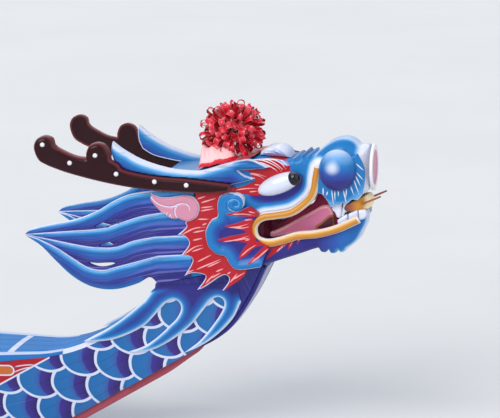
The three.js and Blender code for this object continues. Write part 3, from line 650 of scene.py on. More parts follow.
def rounded(edge, radius, least=0.12):
    """The share of its full height that a face has near its border, for an edge of the given radius."""
    t = np.clip(edge / radius, 0, 1)
    return least + (1 - least) * np.sqrt(1 - (1 - t) ** 2)


def quads(rows, columns, start=0, closed=False):
    """Faces between rows of points, and from the last point of a row to its first where it is closed."""
    faces = []
    for row in range(rows - 1):
        for column in range(columns if closed else columns - 1):
            a = start + row * columns + column
            b = start + row * columns + (column + 1) % columns
            faces.append((a, b, b + columns, a + columns))
    return faces


def new_mesh(name, points, faces, fields, flat, material, sharp=38.0):
    """An object from points and faces, with a value for each point in each field and a UV map."""
    mesh = bpy.data.meshes.new(name)
    mesh.from_pydata([tuple(p) for p in np.asarray(points).tolist()], [], [tuple(f) for f in faces])
    for key, values in fields.items():
        layer = mesh.attributes.new(key, "FLOAT", "POINT")
        layer.data.foreach_set("value", np.asarray(values, dtype=np.float32))
    layer = mesh.uv_layers.new(name="UVMap")
    corners = np.zeros(len(mesh.loops), dtype=np.int32)
    mesh.loops.foreach_get("vertex_index", corners)
    layer.data.foreach_set("uv", np.asarray(flat, dtype=np.float32)[corners].ravel())
    mesh.validate()
    mesh.polygons.foreach_set("use_smooth", np.ones(len(mesh.polygons), bool))
    mesh.set_sharp_from_angle(angle=math.radians(sharp))
    mesh.materials.append(material)
    made = bpy.data.objects.new(name, mesh)
    bpy.context.scene.collection.objects.link(made)
    return made


def carved(name, side, face, front, back, fields, material, flat=None):
    """A closed board: the face at one distance out from the centreline, and its back at another."""
    count = len(face.points)
    points = np.vstack([np.c_[face.x, side * front, face.z], np.c_[face.x, side * back, face.z]])
    triangles = face.triangles if side < 0 else face.triangles[:, ::-1]
    faces = triangles.tolist() + (triangles[:, ::-1] + count).tolist()
    for a, b in face.border():
        wall = (a, a + count, b + count, b)
        faces.append(wall if side < 0 else wall[::-1])
    both = {key: np.tile(values, 2) for key, values in {"edge": face.edge, **fields}.items()}
    flat = face.points if flat is None else flat
    return new_mesh(name, points, faces, both, np.vstack([flat, flat]), material)


def settle(piece, body, slot, *nodes):
    """Says what a finished piece rides on and which CAD nodes it stands for. The slot is not used."""
    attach(piece, body)
    if nodes:
        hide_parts(*nodes)


def head_half(x, z=None):
    """Half the head's breadth, which is the same at every height."""
    return HEAD_HALF - HEAD_TAPER * (x - HEAD_AT)


def half_breadth(x):
    far = np.abs(x)
    straight = HALF_BEAM - BEAM_CURVE * STRAIGHT_FROM**2 - STRAIGHT_SLOPE * (far - STRAIGHT_FROM)
    return np.where(far < STRAIGHT_FROM, HALF_BEAM - BEAM_CURVE * far**2, straight)


def side_half(x, z):
    return half_breadth(x) + FLARE * (z - DECK_Z)


def keel_z(x):
    level, rising = -DRAFT, DECK_Z + OVERHANG_SLOPE * (abs(x) - OVERHANG_END)
    near = max(OVERHANG_BLEND - abs(level - rising), 0) / OVERHANG_BLEND
    return max(level, rising) + near**2 * OVERHANG_BLEND / 4


def sheer_z(x):
    far = abs(x)
    even = SHEER_MIDSHIP_Z + (DECK_Z - SHEER_MIDSHIP_Z) * (min(far, SHEER_RISE_FROM) / SHEER_RISE_FROM) ** 2
    return even + SHEER_RISE * max(far - SHEER_RISE_FROM, 0) ** 2


# Outlines and strokes of the carved boards, in millimetres, as x and z in turn. Each line of an outline is
# smoothed, and its lines meet at corners


def mm(points):
    """Points in metres from the x and z of points in millimetres, in turn."""
    return np.array(points, float).reshape(-1, 2) / 1000


def curve(points, steps=6, closed=False):
    """A smooth line through points in millimetres."""
    return smooth(mm(points), steps, closed)


def outline(*lists):
    """One closed outline from smooth lines that meet at corners."""
    points = np.vstack([curve(points) for points in lists])
    step = np.linalg.norm(points - np.roll(points, 1, axis=0), axis=1)
    return points[step > 1e-5]


MANE_TOPS = (
    (4545, 1086, 4578, 1112, 4679, 1139, 4804, 1166, 4912, 1210, 4995, 1262, 5078, 1298, 5180, 1316),
    (4545, 1085, 4595, 1091, 4761, 1106, 4895, 1117, 4969, 1131, 5053, 1162, 5135, 1189, 5226, 1207),
    (4545, 1084, 4595, 1078, 4678, 1063, 4844, 1032, 4927, 1025, 5010, 1030, 5093, 1062, 5201, 1085),
    (4545, 1083, 4612, 1066, 4703, 1024, 4785, 972, 4868, 922, 4943, 911, 5010, 929, 5217, 988),
)
MANE_FOOT = (
    5210, 842, 5173, 876, 5114, 844, 5022, 815, 4940, 811, 4858, 832, 4776, 882, 4694, 961, 4628, 1028,
    4553, 1077,
)
MANE_SLITS = (
    (4902, 1126, 4933, 1147, 4979, 1164, 5036, 1168, 5010, 1150, 4960, 1134),
    (4925, 1034, 4955, 1047, 4986, 1055, 5013, 1050, 4994, 1040, 4955, 1034),
    (4870, 946, 4916, 944, 4962, 947, 5006, 947, 4962, 930, 4916, 928),
)
RUFF = (
    (5600, 1340, 5420, 1345, 5412, 1250),
    (5412, 1250, 5355, 1165, 5357, 1138, 5310, 1093),
    (5310, 1093, 5345, 1093, 5371, 1052, 5328, 989),
    (5328, 989, 5362, 990, 5388, 966, 5346, 886),
    (5346, 886, 5392, 902, 5448, 894, 5446, 868, 5409, 816),
    (5409, 816, 5446, 830, 5535, 891, 5566, 887, 5566, 860, 5534, 814),
    (5534, 814, 5570, 835, 5656, 912, 5600, 1000),
)
RUFF_STROKES = (
    (5416, 1282, 5459, 1297), (5432, 1262, 5509, 1287), (5431, 1237, 5499, 1246),
    (5431, 1221, 5503, 1235), (5415, 1179, 5482, 1180), (5339, 1100, 5400, 1132, 5457, 1140),
    (5393, 1111, 5459, 1125), (5391, 1071, 5442, 1083), (5350, 1000, 5400, 1036, 5442, 1049),
    (5388, 1014, 5448, 1035), (5415, 962, 5486, 1000), (5410, 923, 5470, 950, 5533, 978),
    (5464, 936, 5535, 969), (5455, 851, 5497, 902), (5481, 879, 5533, 910), (5508, 914, 5544, 930),
    (5564, 903, 5582, 915), (5577, 858, 5617, 911), (5588, 874, 5651, 912), (5360, 905, 5400, 921),
    (5440, 1150, 5465, 1160),
)
EAR = (
    (5183, 1312, 5228, 1292, 5272, 1289, 5317, 1296, 5361, 1301, 5397, 1291, 5423, 1260, 5428, 1228),
    (5428, 1228, 5414, 1191, 5379, 1168, 5352, 1168, 5321, 1179, 5285, 1180, 5236, 1211, 5197, 1251),
    (5197, 1251, 5180, 1282, 5183, 1312),
)
EAR_SPIRAL = (
    5183, 1296, 5205, 1268, 5235, 1250, 5272, 1241, 5306, 1246, 5325, 1256, 5352, 1259,
    5374, 1247, 5378, 1231,
)
EAR_HATCH = (
    (5172, 1269, 5164, 1257), (5193, 1248, 5179, 1234), (5220, 1231, 5200, 1214),
    (5242, 1222, 5222, 1203), (5256, 1217, 5239, 1193), (5271, 1215, 5254, 1187),
    (5287, 1207, 5271, 1176), (5292, 1193, 5285, 1171),
)
EAR_SPIRAL_FOOT = (5321, 1181, 5308, 1203, 5306, 1226, 5314, 1244)
CHEEK = (
    (5600, 1228, 5578, 1240, 5578, 1262, 5600, 1276, 5616, 1268, 5611, 1258),
    (5611, 1258, 5640, 1262, 5648, 1284, 5633, 1306, 5602, 1317, 5567, 1319, 5527, 1299, 5514, 1253,
     5516, 1199, 5487, 1181, 5460, 1135, 5456, 1094, 5469, 1044, 5496, 1013, 5527, 998, 5553, 992,
     5575, 956, 5600, 930, 5642, 925, 5728, 940),
    (5728, 940, 5770, 1045),
    (5770, 1045, 5700, 1100, 5690, 1160, 5720, 1215),
    (5720, 1215, 5673, 1247, 5629, 1230, 5600, 1228),
)
CURL = (5600, 1226, 5574, 1240, 5574, 1272, 5600, 1288, 5626, 1276, 5624, 1254, 5606, 1252)
CHEEK_FLAMES = (
    (5567, 1214, 5629, 1226, 5673, 1247, 5748, 1240, 5748, 1200, 5642, 1200, 5576, 1207),
    (5553, 1146, 5620, 1166, 5690, 1190, 5690, 1120, 5620, 1136),
    (5516, 1075, 5590, 1100, 5650, 1112, 5690, 1135, 5705, 1062, 5620, 1072),
    (5622, 984, 5650, 1040, 5690, 1075, 5760, 1060, 5700, 1040, 5660, 1000),
    (5668, 958, 5720, 1020, 5770, 1065, 5810, 1060, 5760, 1020, 5710, 980),
    (5750, 975, 5780, 1030, 5810, 1070, 5870, 1080, 5870, 1066, 5800, 1010),
)
JAW_STROKES = (
    (5797, 1010, 5864, 1065), (5806, 1019, 5841, 1058), (5864, 1036, 5880, 1066, 5896, 1092),
    (5910, 1064, 5922, 1100),
)
JAW_FLAMES = (
    (5838, 1094, 5866, 1098, 5892, 1100, 5905, 1098, 5886, 1060, 5858, 1024, 5862, 1060),
    (5898, 1106, 5930, 1112, 5922, 1082, 5905, 1052, 5904, 1080),
)
CHEEK_STROKES = (
    (5585, 1210, 5640, 1212, 5704, 1205), (5669, 1225, 5709, 1216), (5567, 1141, 5620, 1146, 5673, 1163),
    (5598, 1140, 5640, 1140, 5678, 1148), (5540, 1067, 5610, 1080, 5678, 1103), (5584, 1074, 5682, 1091),
    (5631, 993, 5670, 1030, 5713, 1058), (5689, 967, 5740, 1010, 5785, 1050), (5709, 981, 5765, 1036),
    (5655, 1078, 5680, 1083), (5650, 1180, 5690, 1184),
)
LIP_PATH = (
    6011, 1452, 6001, 1398, 5990, 1332, 5960, 1280, 5884, 1222, 5800, 1203, 5743, 1194, 5705, 1170,
    5690, 1129, 5706, 1081, 5760, 1062, 5828, 1075, 5908, 1100, 6010, 1112, 6110, 1141, 6212, 1190,
)
HORN = (
    (5580, 1362, 5380, 1385, 5205, 1397, 5060, 1424, 5031, 1452, 4992, 1476),
    (4992, 1476, 4982, 1520, 4962, 1552, 4925, 1564, 4888, 1550, 4870, 1515, 4868, 1486),
    (4868, 1486, 4810, 1496, 4735, 1530, 4712, 1548),
    (4712, 1548, 4700, 1582, 4662, 1594, 4622, 1574, 4608, 1530, 4632, 1470, 4682, 1440),
    (4682, 1440, 4786, 1404, 4960, 1361, 5135, 1332, 5310, 1320, 5450, 1315, 5568, 1324),
    (5568, 1324, 5588, 1342, 5580, 1362),
)
HORN_KNOBS = (4925, 1512, 4662, 1544)
HORN_STUDS = (4658, 1552, 4793, 1462, 4920, 1502, 5024, 1410, 5214, 1374, 5372, 1359)
CREST = (
    (5773, 1447, 5735, 1462, 5700, 1478, 5655, 1485, 5560, 1464, 5465, 1433, 5402, 1422, 5275, 1433,
     5148, 1470, 5053, 1520, 4994, 1564),
    (4994, 1564, 4989, 1525, 4996, 1480, 5014, 1442),
    (5014, 1442, 5080, 1410, 5210, 1388, 5380, 1372, 5560, 1350),
    (5560, 1350, 5649, 1372, 5699, 1388),
    (5699, 1388, 5650, 1402, 5613, 1429),
    (5613, 1429, 5680, 1433, 5773, 1447),
)
PLUME = (
    (4812, 518, 4863, 516, 4963, 530, 5058, 569, 5126, 612, 5172, 659, 5205, 697, 5246, 738, 5283, 752,
     5308, 731, 5309, 693, 5284, 646, 5251, 612, 5210, 570, 5161, 527, 5105, 490, 5033, 462),
    (5033, 462, 5071, 458, 5156, 475, 5244, 523, 5317, 579, 5366, 626, 5400, 668, 5433, 711, 5463, 749,
     5498, 768, 5524, 752, 5526, 720, 5506, 677, 5472, 626, 5430, 571, 5380, 515, 5300, 452),
    (5300, 452, 5385, 492, 5470, 551, 5560, 644, 5610, 740),
    (5610, 740, 5600, 850),
    (5600, 850, 5215, 830),
    (5215, 830, 5176, 802, 5138, 751, 5109, 726, 5036, 662, 4987, 624, 4922, 581, 4858, 546, 4812, 518),
)
SKULL = (
    (5200, 839.4, 5725, 935.5),
    (5725, 935.5, 5700, 1160),
    (5700, 1160, 5722, 1188, 5752, 1202, 5806, 1211, 5886, 1232, 5958, 1288, 5992, 1335),
    (5992, 1335, 6030, 1318, 6235, 1312),
    (6235, 1312, 6256, 1345),
    (6256, 1345, 6260, 1440, 6256, 1545, 6228, 1552, 6205, 1550, 6180, 1570, 6142, 1586, 6095, 1583,
     6050, 1562, 6012, 1532, 5975, 1497),
    (5975, 1497, 5968, 1513, 5940, 1496),
    (5940, 1496, 5925, 1508, 5900, 1482),
    (5900, 1482, 5885, 1490, 5858, 1477),
    (5858, 1477, 5700, 1488),
    (5700, 1488, 5560, 1455, 5400, 1415, 5230, 1395),
    (5230, 1395, 5180, 1340, 5174, 1200, 5200, 839.4),
)
JAW = (
    (5725.6, 936, 5820, 970, 5922, 1005, 5973, 1024, 6006, 1034),
    (6006, 1034, 6020, 1014, 6042, 1012, 6055, 1028),
    (6055, 1028, 6068, 1008, 6092, 1010, 6103, 1026),
    (6103, 1026, 6116, 1012, 6138, 1018, 6150, 1036),
    (6150, 1036, 6180, 1056, 6203, 1082, 6222, 1120, 6240, 1160, 6246, 1205),
    (6246, 1205, 6232, 1222, 6200, 1200),
    (6200, 1200, 6110, 1152, 6010, 1122, 5908, 1108, 5828, 1080, 5762, 1066, 5710, 1084, 5694, 1138),
    (5694, 1138, 5725.6, 936),
)
BROW = (
    (5702, 1488.4, 5712, 1512, 5755, 1530, 5805, 1529, 5840, 1510, 5856, 1478.8),
    (5856, 1478.8, 5702, 1488.4),
)
TONGUE = (
    (5712, 1100, 5759, 1102, 5815, 1126, 5886, 1168, 5960, 1210, 6010, 1240, 6050, 1248),
    (6050, 1248, 6074, 1215, 6084, 1130),
    (6084, 1130, 6038, 1113, 5988, 1107, 5886, 1098, 5815, 1080, 5749, 1072, 5712, 1100),
)
TONGUE_HOLLOW = (5988, 1131, 6018, 1158, 6060, 1194, 6077, 1185, 6078, 1148, 6066, 1131, 6018, 1123)
LINING = (
    (5700, 1085, 5698, 1142, 5733, 1168, 5764, 1173, 5779, 1155, 5805, 1151, 5845, 1180, 5916, 1217,
     5967, 1250, 6010, 1330),
    (6010, 1330, 6090, 1330),
    (6090, 1330, 6096, 1110),
    (6096, 1110, 5988, 1095, 5815, 1070, 5749, 1060, 5700, 1085),
)
FRONT_LIP = (
    6136, 1232, 6146, 1262, 6196, 1284, 6232, 1300, 6250, 1298, 6263, 1278, 6258, 1244, 6244, 1232,
    6210, 1229, 6172, 1222,
)
TEETH = (
    ("upper_teeth", ((6078, 1290, 6074, 1236, 6090, 1212, 6100, 1191, 6120, 1200, 6124, 1290),)),
    ("upper_teeth", ((6128, 1290, 6128, 1206, 6142, 1220, 6152, 1240, 6150, 1290),)),
    ("lower_teeth", ((6104, 1136, 6153, 1154), (6153, 1154, 6150, 1206, 6125, 1196, 6100, 1178))),
    ("lower_teeth", ((6157, 1156, 6203, 1174), (6203, 1174, 6200, 1232, 6180, 1226, 6154, 1210))),
    ("lower_teeth", ((6206, 1176, 6236, 1188), (6236, 1188, 6246, 1208, 6238, 1232, 6204, 1232))),
)
SKIRT = (
    (6008, 1440, 6004, 1380, 6007, 1318),
    (6007, 1318, 6030, 1312, 6052, 1285, 6074, 1246),
    (6074, 1246, 6098, 1262, 6113, 1256, 6135, 1272, 6152, 1266, 6178, 1288, 6204, 1286, 6228, 1312),
    (6228, 1312, 6240, 1380, 6238, 1450, 6205, 1520),
    (6205, 1520, 6100, 1480, 6008, 1440),
)
SKIRT_HAIR = (
    (6037, 1350, 6037, 1305), (6060, 1330, 6052, 1305), (6080, 1337, 6088, 1262),
    (6096, 1336, 6096, 1280), (6113, 1336, 6113, 1302), (6138, 1340, 6153, 1261),
    (6153, 1346, 6151, 1300), (6174, 1360, 6190, 1310), (6188, 1396, 6215, 1316),
    (6198, 1411, 6222, 1360), (6203, 1427, 6238, 1388), (6200, 1473, 6240, 1436),
)
FACE_FLAMES = (
    (5851, 1446, 5831, 1426, 5790, 1417, 5735, 1393, 5699, 1377, 5649, 1350, 5563, 1322, 5649, 1306,
     5725, 1300, 5780, 1340, 5870, 1420),
    (5613, 1429, 5664, 1420, 5690, 1385, 5735, 1380, 5790, 1410, 5860, 1440, 5850, 1475, 5800, 1482,
     5735, 1482, 5770, 1455, 5750, 1436, 5690, 1433),
)
FACE_STROKES = (
    (5644, 1411, 5699, 1410, 5755, 1395), (5654, 1414, 5715, 1400, 5745, 1382),
    (5588, 1323, 5649, 1334, 5715, 1338), (5669, 1318, 5712, 1323), (5694, 1355, 5725, 1353),
)
TAIL_FIN = (
    (-5205, 840.3, -5715, 933.7),
    (-5715, 933.7, -5800, 1090, -5960, 1190, -6190, 1230),
    (-6190, 1230, -6060, 1290, -5950, 1310, -6090, 1400, -6230, 1440),
    (-6230, 1440, -6080, 1490, -5930, 1470, -5990, 1580, -6100, 1660),
    (-6100, 1660, -5880, 1640, -5700, 1520, -5560, 1320, -5400, 1110, -5240, 960, -5205, 840.3),
)
TAIL_FLAME = (
    (-5230, 866, -5690, 948),
    (-5690, 948, -5740, 1050, -5860, 1170, -6010, 1240),
    (-6010, 1240, -5880, 1250, -5760, 1230, -5800, 1330, -5870, 1420),
    (-5870, 1420, -5720, 1350, -5560, 1180, -5420, 1050, -5280, 960, -5230, 866),
)
TAIL_STROKES = (
    (-5620, 1200, -5760, 1420, -5900, 1550, -6040, 1632),
    (-5680, 1180, -5790, 1380, -5890, 1520, -5980, 1600),
    (-5800, 1330, -5930, 1420, -6060, 1450, -6160, 1448), (-5840, 1290, -5960, 1370, -6060, 1405),
    (-5780, 1140, -5900, 1215, -6010, 1240, -6110, 1240),
    (-5560, 1100, -5640, 1260, -5740, 1420, -5840, 1540),
)
FACING = (5385, 487, 5470, 547, 5560, 640, 5650, 780, 5725, 935)
UNDER_EYE = (5700, 1300, 5740, 1288, 5800, 1290, 5860, 1306, 5910, 1340, 5925, 1380)
SNOUT_CENTRE = (6100, 1420, 6110, 1420)
BROW_STROKES = (
    (5715, 1531, 5770, 1536, 5820, 1515, 5846, 1480), (5712, 1518, 5770, 1522, 5812, 1502, 5834, 1480),
    (5708, 1504, 5765, 1508, 5800, 1492, 5815, 1480),
)
HAIR = (
    (5650, 1466, 5700, 1485, 5780, 1488, 5858, 1476),
    (5858, 1476, 5872, 1450, 5852, 1420),
    (5852, 1420, 5810, 1416, 5750, 1440, 5690, 1450, 5650, 1466),
)
HAIR_STROKES = (
    (5671, 1481, 5730, 1480, 5780, 1462, 5812, 1443, 5828, 1424),
    (5717, 1486, 5762, 1482, 5803, 1461, 5836, 1433), (5750, 1488, 5795, 1482, 5828, 1464, 5851, 1436),
    (5665, 1471, 5725, 1467, 5770, 1450, 5802, 1430, 5812, 1418),
    (5785, 1488, 5820, 1484, 5846, 1466, 5858, 1446),
)


# Sizes of carved boards, in metres
CURL_AT = (5.607, 1.268)
CURL_RADIUS = 0.043
LIP_HALF = 0.0205
HORN_ROOT = 0.026
STRAND_HEIGHT = 0.034
TONGUE_HALF = 0.075
TAIL_HALF = 0.045

# Round forms on the head, in metres: x and z, distance out, radii and tilt
EYE_AT = (5.818, 1.362)
EYE_OUT = 0.006
EYE_RADII = (0.116, 0.049, 0.046)
EYE_TILT = 0.40
PUPIL_AT = 0.085
PUPIL_RADII = (0.037, 0.036)
BALL_AT = (6.107, 1.437)
BALL_OUT = 0.014
BALL_RADII = (0.093, 0.088, 0.104)
NOSE_AT = (6.2605, 1.437)
NOSE_RADII = (0.092, 0.118)
WHISKER_FOOT = (6.225, 0.080, 1.262)
WHISKER_TIP = (6.318, 0.084, 1.304)


# Carved boards on both sides of the head


def along_and_down(points, line):
    """How far each point is below a line that runs from aft to fore, square to the line."""
    slope = np.gradient(line[:, 1], line[:, 0])
    z = np.interp(points[:, 0], line[:, 0], line[:, 1])
    return (z - points[:, 1]) / np.hypot(1, np.interp(points[:, 0], line[:, 0], slope))


def ease(value, start, end):
    """From 0 at start to 1 at end, smoothly."""
    t = np.clip((value - start) / (end - start), 0, 1)
    return t * t * (3 - 2 * t)


def breadth_at(half, points):
    """The half-breadth at each point, from a function of x and z or from one number."""
    return half(*points.T) if callable(half) else np.full(len(points), half)


def carve_sides(name, face, height, paint, slot, nodes=(), surface=head_half, flat=None, root=GAP, **fields):
    """The same carved board on each side, standing for the CAD nodes of that side."""
    base = breadth_at(surface, face.points)
    for word, side in SIDES:
        piece = carved(f"{name}_{word}_carved", side, face, base + height, base + root, fields, paint, flat)
        settle(piece, "boat", slot, *[f"{node}_{word}" for node in nodes])


def carve_block(name, face, half, radius, paint, slot, *nodes, **fields):
    """A block across the boat whose two sides are the same face, with its edges rounded."""
    out = breadth_at(half, face.points) - radius + radius * rounded(face.edge, radius, 0)
    settle(carved(f"{name}_carved", -1, face, out, -out, fields, paint), "boat", slot, *nodes)


def carving_paint(name, base, lines=0, light=0.5, stroke=None, patch=None, rim="pale", width=None, **finish):
    """Paint of a carved board: one paint or a ramp over its fade, brush lines, a patch, strokes and a rim."""
    material, graph, shader = new_material(name)
    vector = graph.place()[0]
    hand = graph.noise(vector, 38.0) - 0.5
    shade = base
    if not isinstance(base, str):
        cloud = graph.noise(vector, 9.0) - 0.5
        shade = graph.ramp(graph.attribute("fade") + cloud * 0.12, base)
    if lines:
        along, across = graph.flat()
        brushed = graph.group("brush_lines", Along=along, Across=across, Lines=lines)
        shade = graph.mix(brushed["Shade"] * 0.4, shade, "night")
        shade = graph.mix(brushed["Light"] * light * graph.attribute("fade").high(0.15), shade, "7d86d8")
    if patch:
        shade = graph.mix((graph.attribute("patch") + hand * 0.004).step(-0.001, 0.001), shade, patch)
    if stroke:
        painted = (graph.attribute("stroke") + hand * 0.002).step(-0.0009, 0.0009)
        shade = graph.mix(painted * 0.92, shade, stroke)
    if rim:
        width = width or sizes().rim
        border = (graph.attribute("edge") + hand * 0.003).step(width + 0.0015, width - 0.001)
        shade = graph.mix(border, shade, rim)
    enamel_finish(graph, shader, shade, **finish)
    return material


def carve_mane():
    """Four strands, each rounded at its top and hollowed towards the next one, and let into the neck."""
    lines = [np.vstack([line, [5.40, line[-1][1] + 0.01]]) for line in map(curve, MANE_TOPS)]
    foot = curve(MANE_FOOT)
    border = np.vstack([lines[0], [5.38, 0.88], foot])
    face = Face(border, [curve(slit, closed=True) for slit in MANE_SLITS], guides=lines[1:])
    ends = lines + [np.vstack([foot[::-1], [5.40, 0.84]])]
    depths = [along_and_down(face.points, line) for line in ends]
    down, below = np.maximum(depths[0], 0), np.ones(len(face.x))
    for top, bottom in zip(depths, depths[1:]):
        here = top >= -0.0006
        down = np.where(here, np.maximum(top, 0), down)
        below = np.where(here, -bottom, below)
    below = np.maximum(below, 0)
    share = down / np.maximum(down + below, 1e-4)
    bead = STRAND_HEIGHT * (0.42 + 0.58 * rounded(down, 0.018, 0))
    height = bead * (1 - 0.5 * share) * rounded(face.edge, 0.006, 0.4)
    height = np.where(here, bead * (1 - 0.2 * share) * rounded(below, 0.04, 0.35), height)
    height *= 1 - 0.45 * ease(face.x, 5.20, 5.34)
    height *= 0.05 + 0.95 * ease(face.away(mm((5205, 842, 5380, 880))), 0.0, 0.06)
    tone = 0.5 * share + 0.5 * down / 0.12
    lower = (below + 0.01) / 0.07 + 3.0 * ease(face.x, 5.13, 5.22)
    tone = np.where(here, np.minimum(tone, lower), tone)
    stops = ((0.0, "light"), (0.08, "light"), (0.2, "azure"), (0.42, "blue"), (0.66, "violet"))
    paint = carving_paint("mane_paint", stops, lines=80, light=0.8, width=0.0035)
    flat, edge = np.c_[face.x, down], np.minimum(down, 0.03)
    carve_sides("mane", face, height, paint, "violet_paint", ["mane"], flat=flat, edge=edge, fade=tone)


def carve_ruff():
    face = Face(outline(*RUFF), spacing=0.004)
    marks = face.strokes(RUFF_STROKES, 0.0042)
    aft = face.away(outline(*RUFF[1:6]))
    height = 0.026 * rounded(aft, 0.008, 0.3) - 0.0015 * np.clip(-marks / 0.004, 0, 1)
    paint = carving_paint("ruff_paint", "red", stroke="rose")
    edge = np.minimum(aft, 0.03)
    carve_sides("ruff", face, height, paint, "red_paint", ["ruff"], edge=edge, stroke=marks)


def carve_ears():
    face = Face(outline(*EAR), spacing=0.0025)
    away = np.minimum(face.away(curve(EAR_SPIRAL)), face.away(curve(EAR_SPIRAL_FOOT)))
    marks = np.maximum(0.0028 - away, face.strokes(EAR_HATCH, 0.0030))
    height = 0.040 * rounded(face.edge, 0.014, 0.45) - 0.006 * np.exp(-((away / 0.006) ** 2))
    paint = carving_paint("ear_paint", "pink", stroke="pale", width=0.004)
    carve_sides("ear", face, height, paint, "pink_paint", ["ear"], stroke=marks)


def carve_cheeks():
    """The cheek, with a raised aft edge and red flames, and the curl at its top."""
    face = Face(outline(*CHEEK), spacing=0.004)
    aft = face.away(outline(*CHEEK[:2]))
    fields = {"edge": aft, "fade": aft / 0.1, "patch": face.depth(CHEEK_FLAMES)}
    fields["stroke"] = face.strokes(CHEEK_STROKES, 0.0038)
    height = 0.048 * rounded(aft, 0.018, 0.35) - 0.014 * ease(aft, 0.022, 0.06)
    height += 0.002 * ease(fields["patch"], -0.002, 0.002)
    stops = ((0.0, "pale"), (0.09, "azure"), (0.32, "azure"), (0.5, "blue"), (0.75, "violet"))
    paint = carving_paint("cheek_paint", stops, stroke="rose", patch="red", width=0.0045)
    carve_sides("cheek", face, height, paint, "azure_paint", ["cheek"], **fields)
    angle = np.linspace(0, 2 * math.pi, 48, endpoint=False)
    face = Face(CURL_AT + CURL_RADIUS * np.c_[np.cos(angle), np.sin(angle)], spacing=0.003)
    away = face.away(curve(CURL))
    height = 0.030 + 0.024 * rounded(face.edge, 0.02, 0.3) - 0.005 * np.exp(-((away / 0.006) ** 2))
    fade = 0.2 + 0.2 * ease(face.edge, 0.01, 0.04)
    paint = carving_paint("curl_paint", stops, stroke="light", width=0.0025)
    carve_sides("cheek_curl", face, height, paint, "azure_paint", root=0.012, fade=fade, stroke=0.0026 - away)


def carve_lips():
    """A half-round moulding along the upper lip, round the corner of the mouth and along the lower lip."""
    path = curve(LIP_PATH)
    ahead = np.gradient(path, axis=0)
    normal = np.c_[-ahead[:, 1], ahead[:, 0]] / np.linalg.norm(ahead, axis=1)[:, None]
    face = Face(np.vstack([path + LIP_HALF * normal, (path - LIP_HALF * normal)[::-1]]), spacing=0.004)
    near = np.argmin(np.linalg.norm(face.points[:, None] - path[None], axis=2), axis=1)
    side_of = np.einsum("ij,ij->i", face.points - path[near], normal[near])
    height = 0.030 * np.sqrt(np.clip(1 - (face.away(path) / (LIP_HALF * 1.04)) ** 2, 0.02, 1))
    # Cream along both sides of the gold is a painted highlight on the moulding, inside its white outline
    stops = ((0.0, "cream"), (0.12, "gold"), (0.5, "gold"), (0.68, "gold"), (0.84, "cream"), (1.0, "cream"))
    paint = carving_paint("lip_paint", stops, rim="white", width=0.003, coat=0.4)
    carve_sides("lip", face, height, paint, "gold_paint", ["lip"], fade=side_of / LIP_HALF * 0.5 + 0.5)


def carve_horns():
    """A lacquered horn over the crest on each side, with two knobs and six studs."""
    face = Face(outline(*HORN), rings=(0.002, 0.005, 0.009, 0.014))
    knobs = [np.linalg.norm(face.points - knob, axis=1) for knob in mm(HORN_KNOBS)]
    swell = np.max([np.sqrt(np.clip(1 - (away / 0.052) ** 2, 0, 1)) for away in knobs], axis=0)
    height = HORN_ROOT + 0.052 * (0.45 + 0.55 * rounded(face.edge, 0.024, 0)) * (0.88 + 0.12 * swell)
    # Russet along the rounded edges, fading into the maroon face, is a painted highlight
    stops = ((0.0, "russet"), (0.35, "russet"), (0.9, "maroon"))
    finish = {"coat": 0.12, "rough": 0.3, "shine": 0.15, "dust": 0.03, "chips": 0.08}
    paint = carving_paint("horn_lacquer", stops, rim=None, **finish)
    fade = ease(face.edge, 0.0, 0.014)
    carve_sides("horn", face, height, paint, "maroon_lacquer", ["horn"], root=HORN_ROOT + GAP, fade=fade)
    places = []
    for x, z in mm(HORN_STUDS):
        for side in (-1, 1):
            places.append(((x, side * (head_half(x) + 0.076), z), (0, side, 0)))
    studs("horn_studs", places, 0.0125, 0.011, plain_enamel("stud_enamel", "white", coat=0.8), "white_paint")


def carve_crests():
    """The long crest on each side. It stays low where the horn lies over it."""
    face = Face(outline(*CREST), rings=(0.002, 0.005, 0.01))
    top = face.away(curve(CREST[0]))
    height = 0.052 * rounded(face.edge, 0.022, 0.3) * (1 - 0.18 * ease(top, 0.02, 0.09))
    under_horn = depth_in(face.points, [outline(*HORN)])
    height = np.minimum(height, HORN_ROOT - 0.0005 + 0.03 * ease(under_horn, -0.002, -0.008))
    tip = ease(face.x, 5.57, 5.66)
    stops = ((0.0, "pale"), (0.08, "pale"), (0.18, "light"), (0.34, "azure"), (0.6, "blue"), (0.85, "violet"))
    paint = carving_paint("crest_paint", stops, lines=50, light=0.2, width=0.0035)
    fade = top / 0.11 * (1 - tip) + 0.38 * tip
    carve_sides("crest", face, height, paint, "azure_paint", ["crest"], fade=fade)


def carve_plumes():
    """Three claws on each side of the neck, which sink into it at their roots."""
    face = Face(outline(*PLUME), rings=(0.002, 0.005, 0.009, 0.014))
    edge = np.minimum(face.away(outline(*PLUME[:3])), face.away(curve(PLUME[5])))
    root = ease(face.z, 0.78, 0.83)
    height = 0.014 * rounded(edge, 0.03, 0.25) * (1 - 0.9 * root)
    fields = {"edge": edge + 0.05 * root, "fade": np.maximum(edge / 0.075, root)}
    stops = ((0.0, "pale"), (0.07, "pale"), (0.15, "light"), (0.26, "azure"), (0.45, "blue"), (0.8, "violet"))
    paint = carving_paint("plume_paint", stops, width=0.0045)
    carve_sides("plume", face, height, paint, "sky_paint", ["neck_plume"], side_half, **fields)


